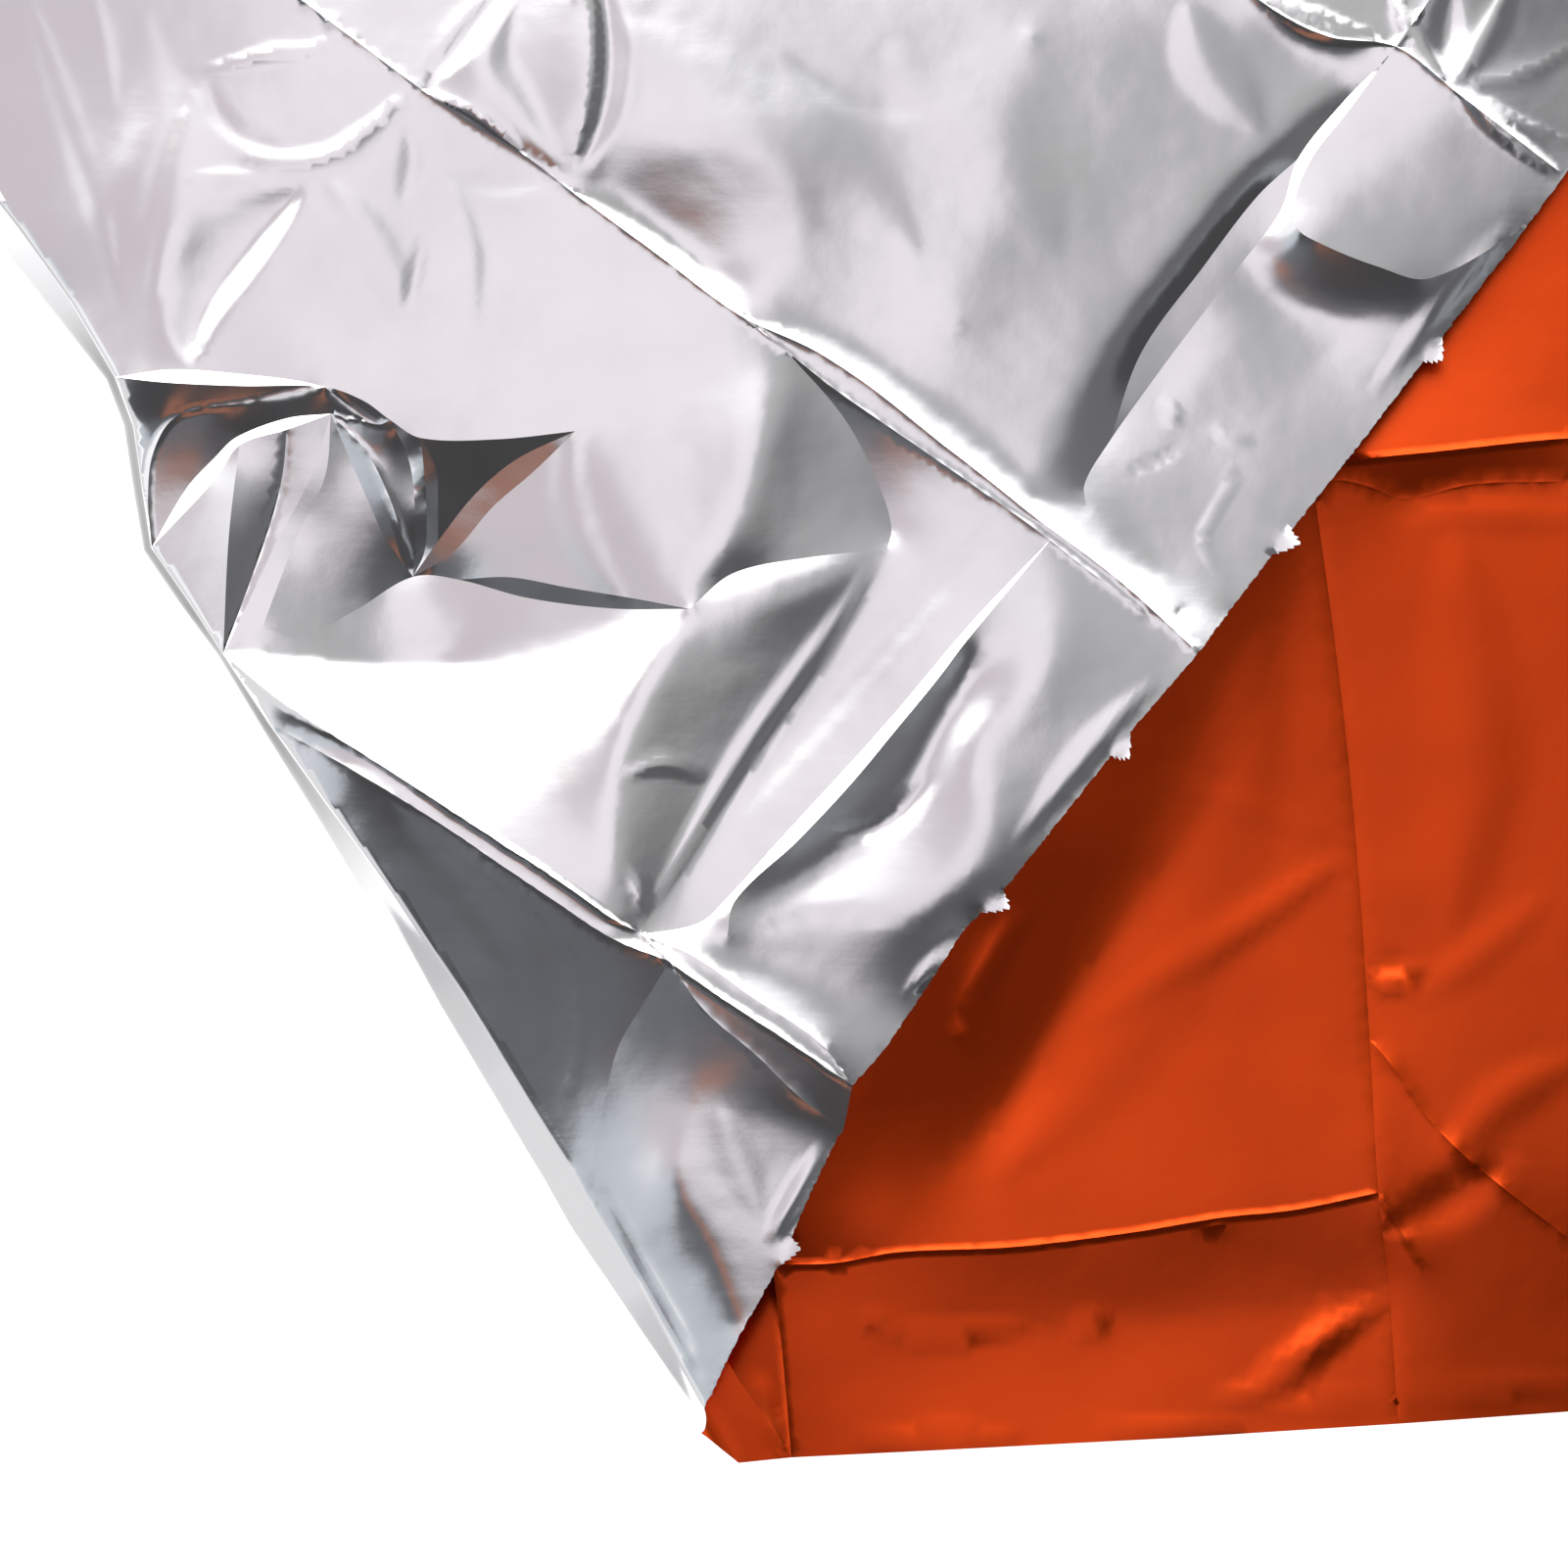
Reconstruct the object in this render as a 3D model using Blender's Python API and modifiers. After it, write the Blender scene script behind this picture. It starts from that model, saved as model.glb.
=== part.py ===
"""A cut length of two-faced emergency foil, turned over on itself along a slanting fold.

The sheet is silver on one face and orange on the other. Its lower layer lies on the ground with the
orange face up, and the rest comes back over it in an open roll, silver face up, crossed by the square
creases that it was packed in and buckled beside the roll. The solid follows the silver face.

Tables are in millimetres: right, away from the hem, and up. The build turns them into metres.
"""

import math
from collections import namedtuple

import bmesh
import bpy
from mathutils import Vector, geometry
from mathutils.bvhtree import BVHTree

MM = 0.001
THICKNESS = 1.2      # of the solid sheet
UPPER_PITCH = 8.0    # spacing of the points inside the turned-over layer
LOWER_PITCH = 13.0   # the same in the layer that lies flat
FOLD_PITCH = 9.0     # longest step along a fold or an edge
CLEAR_OF_FOLD = 0.6  # share of the pitch that inner points keep from a fold
SOFTENING = 40       # passes that stretch the film between its folds

SILVER = (0.62, 0.62, 0.64, 1.0)

# The open roll, from the hem to the far end: its outermost line in plan, the line where it meets
# the turned-over layer, the line where it meets the ground, and its height.
Roll = namedtuple("Roll", "outer_x outer_y top_x top_y under_x under_y height")
ROLL = (
    Roll(-15.0, -114.0, -14.0, -109.5, -8.0, -119.5, 8.2),
    Roll(-24.0, -100.0, -20.0, -97.5, -20.0, -97.5, 8.4),
    Roll(-30.5, -90.0, -25.5, -87.0, -25.5, -87.0, 8.5),
    Roll(-38.5, -78.0, -33.0, -74.5, -33.0, -74.5, 8.6),
    Roll(-43.0, -70.0, -37.3, -66.5, -37.3, -66.5, 8.9),
    Roll(-49.2, -60.0, -43.6, -56.5, -43.6, -56.5, 9.4),
    Roll(-61.5, -40.0, -55.9, -36.6, -55.9, -36.6, 10.8),
    Roll(-73.5, -20.0, -69.3, -17.3, -69.3, -17.3, 12.2),
    Roll(-82.5, -5.0, -80.0, -3.3, -80.0, -3.3, 12.6),
    Roll(-91.5, 9.5, -90.0, 10.5, -90.0, 10.5, 12.2),
    Roll(-99.3, 22.5, -98.2, 22.8, -98.2, 22.8, 11.8),
    Roll(-106.0, 31.5, -104.3, 32.2, -104.3, 32.2, 11.2),
    Roll(-112.5, 41.0, -110.8, 41.5, -110.8, 41.5, 10.6),
    Roll(-114.3, 51.5, -112.3, 51.5, -112.3, 51.5, 11.0),
    Roll(-116.0, 63.0, -113.8, 62.5, -113.8, 62.5, 11.8),
    Roll(-119.0, 71.0, -117.0, 71.2, -117.0, 71.2, 13.2),
    Roll(-128.0, 82.5, -124.5, 84.5, -124.5, 84.5, 12.6),
    Roll(-138.0, 95.0, -133.5, 97.5, -133.5, 97.5, 12.4),
    Roll(-163.0, 126.5, -158.5, 129.5, -158.5, 129.5, 11.0),
)

# The roll's section: share of the way out, and share of its height.
ROLL_SECTION = ((0.0, 1.0), (0.45, 0.90), (0.85, 0.78), (0.98, 0.62), (1.0, 0.42), (0.9, 0.2),
                (0.55, 0.04), (0.0, 0.0))

# Named points of the turned-over layer: right, away, up.
UPPER_POINTS = {
    # torn edge, from the hem end of the roll to the free corner
    "edge 1": (-8.0, -97.0, 11.2),
    "edge 2": (-0.5, -83.5, 12.4),
    "edge 3": (4.0, -73.0, 12.6),
    "edge 4": (8.8, -63.0, 13.0),
    "edge 5": (10.3, -60.5, 13.4),
    "edge 6": (12.0, -52.7, 15.0),
    "edge 7": (17.5, -46.5, 14.1),
    "edge 8": (24.0, -37.0, 13.3),
    "edge 9": (31.5, -25.5, 13.7),
    "edge 10": (38.5, -18.5, 14.4),
    "edge 11": (50.0, -4.0, 14.5),
    "edge 12": (60.0, 8.5, 14.5),
    "edge 13": (72.5, 23.0, 14.5),
    "edge 14": (78.5, 31.0, 13.2),
    "edge 15": (88.0, 43.5, 12.4),
    "edge 16": (100.0, 58.5, 12.2),
    "edge 17": (115.0, 78.0, 12.0),
    "edge 18": (130.0, 97.5, 12.8),
    "edge 19": (136.5, 106.5, 13.4),
    "corner": (157.0, 137.5, 8.5),
    # cut sides
    "side 1": (127.0, 158.0, 12.6),
    "side 2": (14.0, 235.0, 14.4),
    "far corner": (-49.5, 278.5, 11.0),
    "end 1": (-72.0, 248.0, 13.6),
    "end 2": (-129.5, 171.5, 14.6),
    # first long crease: its crest, its second line and the foot of its far side
    "B": (-63.5, 121.5, 15.9),
    "B1": (-45.5, 110.0, 15.5),
    "B2": (-37.0, 103.5, 15.6),
    "B3": (-22.0, 92.5, 15.6),
    "C": (-7.8, 82.0, 15.4),
    "C1": (5.0, 76.0, 15.35),
    "C2": (15.0, 69.5, 15.25),
    "C3": (27.0, 60.0, 15.1),
    "C4": (36.0, 53.0, 15.0),
    "C5": (43.5, 47.0, 14.9),
    "C6": (58.5, 35.7, 14.6),
    "E": (0.3, 75.8, 15.25),
    "E1": (8.5, 69.3, 15.2),
    "E2": (27.0, 56.5, 15.05),
    "E3": (43.0, 45.3, 14.95),
    "O": (46.5, 42.6, 14.9),
    "E4": (60.0, 32.3, 14.5),
    "G1": (5.0, 80.2, 14.75),
    "G2": (17.0, 73.0, 14.4),
    "G3": (29.0, 63.5, 14.2),
    "G4": (38.0, 55.0, 14.0),
    "G5": (44.0, 49.6, 13.9),
    "G6": (53.0, 48.5, 13.5),
    "G7": (64.0, 37.0, 13.2),
    # hollow beside it, with a swollen rim
    "Y1": (-32.0, 102.5, 14.6),
    "Y2": (-19.5, 93.5, 14.3),
    "Y3": (-11.0, 86.5, 14.7),
    "Y4": (-30.0, 107.0, 15.6),
    "Y5": (-20.0, 113.5, 16.3),
    "Y6": (-3.0, 109.5, 16.3),
    "Y7": (2.4, 98.5, 16.1),
    "Y8": (-1.0, 89.0, 15.5),
    # second long crease: its pressed line, the edges of its raised strip and its far foot
    "J1": (-88.0, 14.5, 14.2),
    "J2": (-70.0, 3.0, 15.2),
    "J3": (-50.0, -10.0, 15.8),
    "J4": (-40.0, -16.5, 16.0),
    "J5": (-30.0, -23.5, 15.9),
    "N": (-25.0, -26.3, 15.2),
    "N1": (-20.0, -31.0, 15.8),
    "N2": (-10.0, -38.0, 15.8),
    "N3": (0.0, -44.5, 15.7),
    "K3": (-75.0, 2.2, 15.0),
    "K4": (-60.0, -7.0, 15.3),
    "K5": (-50.0, -13.8, 15.6),
    "K6": (-40.0, -20.5, 15.7),
    "K7": (-30.0, -27.0, 15.7),
    "N4": (-14.0, -39.5, 15.4),
    "N5": (-5.0, -47.3, 15.0),
    "N6": (3.0, -55.0, 14.3),
    "N7": (-16.0, -30.0, 15.5),
    "N8": (-5.0, -37.6, 15.5),
    "N9": (6.0, -45.0, 15.3),
    "M7": (-9.0, -29.5, 14.7),
    "M8": (2.0, -34.5, 14.4),
    "M9": (11.0, -40.5, 14.0),
    # third long crease
    "L1": (84.0, 136.5, 14.8),
    "L2": (95.0, 130.8, 14.6),
    "F": (107.0, 129.0, 14.4),
    "G": (117.0, 121.5, 14.6),
    "L3": (88.0, 131.6, 13.8),
    "L4": (99.0, 128.6, 13.9),
    # first cross crease, far part: crease, dark shoulder, foot
    "F1": (98.0, 119.5, 13.3),
    "F2": (90.0, 109.5, 13.0),
    "F3": (87.0, 100.5, 12.7),
    "F4": (80.0, 91.0, 12.3),
    "F5": (70.0, 78.0, 12.2),
    "F6": (63.0, 68.5, 12.3),
    "F7": (57.0, 60.0, 12.6),
    "F8": (52.6, 52.5, 13.2),
    "S1": (88.0, 110.0, 13.9),
    "S2": (81.5, 100.5, 13.8),
    "S3": (72.5, 88.5, 13.8),
    "S4": (62.3, 75.2, 13.8),
    "S5": (51.5, 60.5, 14.0),
    "S6": (44.5, 51.8, 14.2),
    "U1": (84.5, 101.5, 12.5),
    "U2": (76.0, 89.5, 12.2),
    "U3": (65.0, 74.0, 12.2),
    "U4": (56.0, 60.5, 12.7),
    "S7": (43.0, 130.0, 15.4),
    "S8": (39.0, 112.0, 15.3),
    "S9": (35.0, 95.0, 15.2),
    "S10": (30.0, 80.0, 14.9),
    # pillow beyond it
    "P1": (98.5, 117.5, 13.8),
    "P2": (92.3, 109.5, 13.6),
    "P3": (89.3, 102.0, 13.7),
    "P4": (89.5, 97.5, 14.1),
    "P5": (94.0, 94.5, 14.2),
    "P6": (104.0, 90.5, 13.9),
    "P7": (113.0, 88.5, 13.4),
    "P9": (87.0, 83.5, 11.7),
    "P10": (98.0, 80.8, 11.6),
    "P11": (107.0, 82.8, 11.9),
    "P12": (104.0, 107.0, 14.0),
    "P13": (122.0, 112.0, 13.9),
    "P14": (127.0, 103.0, 13.4),
    # first cross crease, near part: valley, ridge, foot and the crest of the swell beyond
    "O1": (33.0, 28.5, 14.9),
    "O2": (17.3, 10.0, 14.8),
    "O3": (-1.0, -10.0, 14.8),
    "O4": (-10.0, -20.0, 14.8),
    "O5": (-15.0, -24.3, 14.9),
    "R1": (31.5, 24.5, 15.4),
    "R2": (27.0, 18.5, 15.3),
    "R3": (20.0, 10.0, 15.3),
    "R4": (11.7, 0.0, 15.3),
    "R5": (2.3, -10.0, 15.3),
    "R6": (-8.5, -20.3, 15.3),
    "R7": (-10.0, -27.0, 15.2),
    "V1": (32.0, 21.0, 14.3),
    "V2": (28.0, 10.0, 13.9),
    "V3": (19.0, -4.0, 13.7),
    "V4": (8.0, -13.0, 13.9),
    "V5": (-3.0, -21.0, 14.7),
    "W1": (49.0, 33.0, 15.2),
    "W2": (45.5, 19.0, 15.4),
    "W3": (37.0, 12.0, 15.5),
    "W4": (31.0, 5.0, 15.4),
    "W5": (36.5, -6.0, 15.5),
    "W6": (33.0, -15.0, 15.3),
    "W7": (22.0, -23.5, 15.0),
    "W8": (8.0, -22.5, 15.0),
    "W9": (-4.0, -25.0, 15.1),
    # hem part
    "T1": (-24.0, -37.5, 14.4),
    "T2": (-29.0, -46.0, 12.7),
    "T3": (-31.5, -56.0, 11.0),
    "T4": (-33.3, -65.0, 9.7),
    "T5": (-16.0, -58.0, 13.5),
    "T6": (-3.0, -57.0, 13.7),
    "T7": (-22.0, -80.0, 11.6),
    "T8": (-8.0, -80.0, 13.1),
    # second cross crease
    "Z1": (-52.5, 138.0, 15.6),
    "Z2": (-72.0, 112.0, 15.8),
    "Z3": (-85.0, 94.0, 15.7),
    "Z4": (-96.0, 80.0, 15.3),
    "Z5": (-106.0, 96.0, 15.2),
    "Z6": (-108.0, 80.0, 14.8),
    "Z7": (-104.5, 124.0, 14.9),
    "Z8": (-117.0, 104.0, 14.6),
    # buckled part beside the roll: the crest of its ridge and the foot on its far side
    "A1": (-108.0, 70.2, 15.1),
    "A2": (-95.0, 69.6, 15.3),
    "I2": (-80.3, 69.4, 15.3),
    "I4": (-73.5, 67.0, 15.25),
    "I3": (-68.8, 63.6, 15.2),
    "D1": (-63.5, 60.5, 15.0),
    "D2": (-50.0, 60.3, 14.9),
    "D": (-36.5, 61.7, 14.9),
    "A3": (-107.0, 72.5, 14.7),
    "A4": (-94.0, 71.6, 14.95),
    "A5": (-85.0, 70.5, 15.1),
    "I5": (-76.0, 66.0, 14.6),
    "I6": (-71.3, 62.9, 14.5),
    "H3": (-106.0, 64.5, 13.3),
    "H4": (-110.3, 58.5, 12.3),
    "H5": (-112.0, 50.5, 11.3),
    "H6": (-93.0, 66.9, 14.5),
    "H7": (-104.5, 52.0, 11.6),
    "H8": (-99.5, 57.3, 12.3),
    "H9": (-95.8, 60.7, 12.9),
    "H1": (-87.0, 64.0, 13.1),
    "X1": (-104.0, 48.5, 12.2),
    "X2": (-99.0, 54.0, 12.85),
    "H2": (-95.3, 59.3, 13.5),
    "X3": (-87.0, 62.0, 13.7),
    "I": (-79.3, 64.8, 13.5),
    "X8": (-97.2, 43.0, 12.75),
    "X4": (-85.6, 54.0, 12.1),
    "X5": (-90.3, 44.5, 12.1),
    "X6": (-82.5, 54.5, 12.85),
    "X7": (-87.6, 44.5, 12.8),
    "X20": (-80.3, 54.0, 12.75),
    "X21": (-85.2, 43.5, 12.45),
    "X22": (-91.5, 27.0, 11.9),
    "X9": (-73.0, 58.0, 13.7),
    "X10": (-69.2, 50.5, 13.3),
    "X11": (-67.2, 44.5, 12.4),
    "K": (-65.0, 36.3, 10.4),
    "X12": (-65.6, 56.5, 13.3),
    "X13": (-64.6, 47.5, 12.7),
    "X14": (-62.6, 49.0, 12.5),
    "X15": (-62.9, 41.0, 11.05),
    "X23": (-76.5, 58.0, 12.5),
    "X24": (-73.0, 50.0, 12.25),
    "X25": (-70.0, 43.5, 11.7),
    "X26": (-60.9, 55.0, 13.9),
    "X27": (-60.6, 48.0, 12.6),
    "X28": (-46.8, 56.8, 13.95),
    "X29": (-54.0, 50.8, 12.87),
    "X30": (-60.6, 42.5, 11.5),
    "K12": (-48.0, 36.2, 12.25),
    "K13": (-38.0, 34.4, 13.45),
    "K14": (-26.0, 32.4, 14.75),
    "X16": (-44.0, 54.5, 13.7),
    "X17": (-51.0, 48.5, 12.6),
    "X18": (-58.0, 40.5, 11.4),
    "K1": (-85.0, 25.7, 11.5),
    "K8": (-75.0, 30.5, 10.95),
    "K9": (-57.0, 35.8, 10.95),
    "K10": (-45.0, 32.6, 12.05),
    "K11": (-30.0, 30.7, 13.95),
    "L": (-16.5, 30.6, 15.8),
    "Q4": (-85.0, 21.3, 11.3),
    "Q5": (-60.0, 20.0, 10.1),
    "Q6": (-45.0, 21.5, 12.25),
    "Q7": (-30.0, 26.3, 14.0),
    # tent
    "E5": (-4.0, 60.0, 16.3),
    "E6": (-10.0, 43.0, 16.1),
    "M1": (10.5, 64.0, 14.6),
    "M2": (16.3, 53.0, 14.1),
    "M3": (18.8, 45.0, 14.0),
    "M": (18.0, 41.0, 14.3),
    "M4": (-9.0, 36.8, 15.3),
    "M5": (4.0, 39.6, 14.8),
    "Q8": (-8.0, 31.5, 15.9),
    "Q9": (6.0, 36.0, 15.3),
    "Q1": (-23.5, 21.0, 16.3),
    "Q2": (-29.5, 5.0, 16.2),
    "Q3": (-29.5, -13.0, 16.2),
    "M6": (7.0, 21.0, 13.9),
    "M10": (-6.0, 3.0, 14.0),
    "M11": (-17.0, -14.0, 14.5),
    "T9": (-19.0, 74.0, 15.4),
    # top of the view
    "X19": (-35.5, 138.0, 16.6),
    "Z9": (-33.5, 122.0, 16.9),
    "Y9": (-37.0, 110.0, 16.2),
}

# The creases of the turned-over layer, each through its points.
UPPER_FOLDS = {
    "first long crease": "end 2, B, B1, B2, B3, C, C1, C2, C3, C4, C5, C6, edge 13",
    "its second line": "C, E, E1, E2, E3, O, E4, edge 13",
    "its far foot": "C, G1, G2, G3, G4, G5, G6, G7, edge 13",
    "hollow beside it": "B2, Y1, Y2, Y3, C",
    "rim of that hollow": "B2, Y4, Y5, Y6, Y7, Y8, C",
    "second long crease": "roll 10, J1, J2, J3, J4, J5, N, N1, N2, N3, edge 6",
    "its lower edge": "roll 9, K3, K4, K5, K6, K7, N1",
    "its hem strip": "N1, N4, N5, N6, edge 5",
    "its upper edge": "N, N7, N8, N9, edge 6",
    "its far foot, hem part": "R7, M7, M8, M9, edge 7",
    "third long crease": "end 1, L1, L2, F, G, edge 19",
    "its near foot": "L1, L3, L4, F",
    "first cross crease": "side 1, F, F1, F2, F3, F4, F5, F6, F7, F8, G6",
    "its dark shoulder": "F1, S1, S2, S3, S4, S5, S6, G5",
    "its foot": "F2, U1, U2, U3, U4, F8",
    "low swell in the panel": "S7, S8, S9, S10",
    "pillow rim": "F, P1, P2, P3, P4, P5, P6, P7, edge 18",
    "pillow foot": "F4, P9, P10, P11, edge 17",
    "pillow swell": "G, P12, P4",
    "pillow far side": "G, P13, P14, edge 18",
    "near part of the cross crease": "O, O1, O2, O3, O4, O5, N",
    "ridge beside it": "O, R1, R2, R3, R4, R5, R6, R7",
    "foot of that ridge": "R1, V1, V2, V3, V4, V5, R7",
    "swell beyond": "O, W1, W2, W3, W4, W5, W6, edge 9",
    "low swell beyond": "W6, W7, W8, W9, R7",
    "hem part of the cross crease": "N1, T1, T2, T3, T4, roll 3",
    "hem hollow": "T3, T5, T6, edge 4",
    "hem swell": "roll 2, T7, T8, edge 2",
    "second cross crease": "side 2, Z1, B, Z2, Z3, Z4, A3",
    "left slope": "Z7, Z5, Z6, roll 15",
    "far left slope": "Z7, Z8, roll 16",
    "ridge over the buckle": "roll 15, A1, A2, I2, I4, I3, D1, D2, D",
    "its far side": "roll 15, A3, A4, A5, I2",
    "pleat": "I2, I5, I6, I3",
    "pleat, near line": "I, I6",
    "upper arc": "roll 12, H5, H4, H3, H6, I2",
    "foot of the lower arc": "roll 12, H7, H8, H9, H1, I",
    "lower arc": "roll 12, X1, X2, H2, X3, I",
    "left ridge in the fan": "H2, X8, roll 10",
    "valley in the fan": "X3, X4, X5, roll 10",
    "ridge in the fan": "I, X6, X7, roll 10",
    "second valley in the fan": "I, X20, X21, X22",
    "fold down to K": "I, X9, X10, X11, K",
    "foot of that fold": "I, X23, X24, X25, K",
    "lens": "I3, X12, X13, K",
    "line beside the lens": "D1, X14, X15, K",
    "left strip in the dark facet": "D1, X26, X27, X30",
    "right strip in the dark facet": "D, X28, X29, X30, K",
    "peak to K": "D, X16, X17, X18, K",
    "shade over the foot": "K9, K12, K13, K14, L",
    "peak to L": "D, L",
    "foot of the buckle": "roll 10, X22, K1, K8, K, K9, K10, K11, L",
    "arc below it": "roll 10, Q4, Q5, Q6, Q7, L",
    "tent edge": "E, E5, E6, L",
    "curved tent edge": "E, M1, M2, M3, M",
    "tent foot": "L, M4, M5, M",
    "ridge under the tent": "L, Q8, Q9, M",
    "blade, left": "L, Q1, Q2, Q3, N",
    "blade, right": "M, M6, M10, M11, N",
    "stripe in the panel": "T9, L",
    "top ridge": "X19, Z9, Y9, B2",
}

# Named points of the layer that lies on the ground: right, away, up.
LOWER_POINTS = {
    "hem 1": (1.3, -118.5, 0.8),
    "hem 2": (30.0, -117.0, 2.4),
    "hem 3": (68.5, -115.0, 2.6),
    "hem 4": (108.0, -112.5, 2.6),
    "hem corner": (165.5, -108.5, 0.0),
    "side 1": (162.5, -68.5, 2.4),
    "side 2": (155.5, 61.0, 2.6),
    "far corner": (150.5, 141.0, 1.6),
    # ground line, well under the turned-over layer
    "ground 1": (-13.0, -95.0, 0.0),
    "ground 2": (-16.0, -70.0, 0.0),
    "ground 3": (-2.0, -38.0, 0.0),
    "ground 4": (35.0, 12.0, 0.0),
    "ground 5": (75.0, 60.0, 0.0),
    "ground 6": (112.0, 105.0, 0.0),
    # swell under the torn edge and the foot of its slope
    "A1": (-3.0, -72.0, 3.8),
    "A2": (8.0, -52.0, 4.4),
    "A3": (24.0, -28.0, 4.4),
    "A4": (46.0, 0.0, 3.8),
    "A5": (72.0, 32.0, 3.0),
    "A6": (92.0, 58.0, 3.0),
    "B1": (19.0, -76.0, 2.6),
    "B2": (38.0, -58.0, 0.9),
    "B3": (54.0, -34.0, 0.8),
    "B4": (72.0, -8.0, 1.1),
    "B5": (84.0, 18.0, 1.4),
    # crease along the hem
    "X0": (-2.0, -84.5, 2.2),
    "X1": (9.0, -84.2, 2.2),
    "X2": (20.0, -82.3, 2.35),
    "X3": (40.0, -81.4, 2.5),
    "X4": (60.0, -79.0, 2.5),
    "X5": (77.0, -76.2, 2.7),
    "X6": (90.0, -74.8, 2.7),
    "X": (104.5, -71.8, 2.9),
    "X7": (128.0, -66.5, 2.6),
    "U0": (1.0, -88.5, 1.9),
    "U1": (13.0, -95.0, 1.9),
    "U2": (26.0, -97.0, 1.7),
    "U3": (42.0, -96.0, 1.5),
    "U4": (70.0, -94.0, 1.6),
    "U5": (103.0, -90.0, 1.8),
    # creases away from the hem
    "V0": (-0.3, -100.0, 1.6),
    "V1": (93.5, 49.5, 2.2),
    "V2": (96.5, 28.0, 1.5),
    "V3": (99.0, 7.0, 1.3),
    "V4": (101.0, -15.0, 1.6),
    "V5": (103.0, -45.0, 2.0),
    "V6": (106.3, -88.0, 2.2),
    # far crease, double
    "Y1": (97.0, 57.0, 2.7),
    "Y2": (110.0, 58.0, 2.8),
    "Y3": (138.0, 60.8, 3.0),
    "Z1": (96.0, 53.2, 2.2),
    "Z2": (102.5, 52.4, 2.0),
    "Z3": (109.0, 50.2, 1.6),
    "Z4": (121.0, 52.7, 1.9),
    "Z5": (138.0, 53.2, 2.1),
    # slack lines in the right panel
    "S1": (106.5, -49.0, 2.4),
    "S2": (113.0, -58.5, 2.6),
    "S3": (121.0, -66.5, 2.9),
    "S4": (138.0, -80.0, 2.0),
    "S5": (112.0, -84.5, 2.6),
}

LOWER_FOLDS = {
    "ground line": "hem 1, ground 1, ground 2, ground 3, ground 4, ground 5, ground 6, far corner",
    "swell under the edge": "X0, A1, A2, A3, A4, A5, A6",
    "foot of that swell": "X1, B1, B2, B3, B4, B5, V1",
    "crease along the hem": "X0, X1, X2, X3, X4, X5, X6, X",
    "its soft end": "X, X7, side 1",
    "slack line beside it": "X0, U0, U1, U2, U3, U4, U5, V6",
    "left crease": "X0, V0, hem 1",
    "cross crease": "A6, V1, V2, V3, V4, V5, X, V6, hem 4",
    "far crease": "A6, Y1, Y2, Y3, side 2",
    "far crease, second line": "V1, Z1, Z2, Z3, Z4, Z5",
    "slack curve": "V5, S1, S2, S3, S4",
    "short slack curve": "X, S5",
}

# The rims of the two layers, from the hem end of the roll round to its far end.
UPPER_RIM = [f"edge {i}" for i in range(1, 20)]
UPPER_RIM += ["corner", "side 1", "side 2", "far corner", "end 1", "end 2"]
LOWER_RIM = ["hem 1", "hem 2", "hem 3", "hem 4", "hem corner", "side 1", "side 2", "far corner"]


def walk(corners, pitch):
    """The corners with even steps of at most the pitch put in between them."""
    points = []
    for start, end in zip(corners, corners[1:]):
        steps = max(1, math.ceil((end - start).length / pitch))
        points += [start.lerp(end, step / steps) for step in range(steps)]
    return points + [corners[-1]]


def roll_lines():
    """The top, outer and under lines of the roll, stepped alike, so that their points pair up."""
    tops = [Vector((row.top_x, row.top_y, row.height)) for row in ROLL]
    outers = [Vector((row.outer_x, row.outer_y, 0.0)) for row in ROLL]
    unders = [Vector((row.under_x, row.under_y, 0.0)) for row in ROLL]
    lines = ([], [], [])
    for i in range(len(ROLL) - 1):
        steps = max(1, math.ceil((tops[i + 1] - tops[i]).length / FOLD_PITCH))
        for step in range(steps):
            for line, corners in zip(lines, (tops, outers, unders)):
                line.append(corners[i].lerp(corners[i + 1], step / steps))
    for line, corners in zip(lines, (tops, outers, unders)):
        line.append(corners[-1])
    return lines


def named(points, names):
    return [points[name.strip()] for name in names.split(",")]


def place(point):
    """A point's place in plan, as a key."""
    return round(point[0], 3), round(point[1], 3)


def inside(x, y, outline):
    """True where a ray along X crosses the outline an odd number of times."""
    crossings = 0
    for (x1, y1, _), (x2, y2, _) in zip(outline, outline[1:]):
        if (y1 > y) != (y2 > y) and x < x1 + (y - y1) * (x2 - x1) / (y2 - y1):
            crossings += 1
    return crossings % 2 == 1


def filling(outline, lines, pitch):
    """Points in staggered rows inside the outline, clear of every line."""
    taken = [point.to_2d() for line in lines for point in line]
    right = max(point.x for point in outline)
    top = max(point.y for point in outline)
    y = min(point.y for point in outline)
    points, row = [], 0
    while y < top:
        x = min(point.x for point in outline) + (row % 2) * pitch / 2
        while x < right:
            spot = Vector((x, y))
            if inside(x, y, outline) and all(
                (spot - other).length > pitch * CLEAR_OF_FOLD for other in taken
            ):
                points.append(spot)
            x += pitch
        y += pitch * math.sqrt(3) / 2
        row += 1
    return points


def triangulated(lines, extra):
    """Points in plan and the triangles that keep every line as edges."""
    plan, edges, index = [], [], {}
    for line in lines:
        for point in line:
            if place(point) not in index:
                index[place(point)] = len(plan)
                plan.append(point.to_2d())
        keys = [index[place(point)] for point in line]
        edges += list(zip(keys, keys[1:]))
    plan += extra
    points, _, faces, *_ = geometry.delaunay_2d_cdt(plan, edges, [], 1, 1e-4)
    return points, faces


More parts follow.
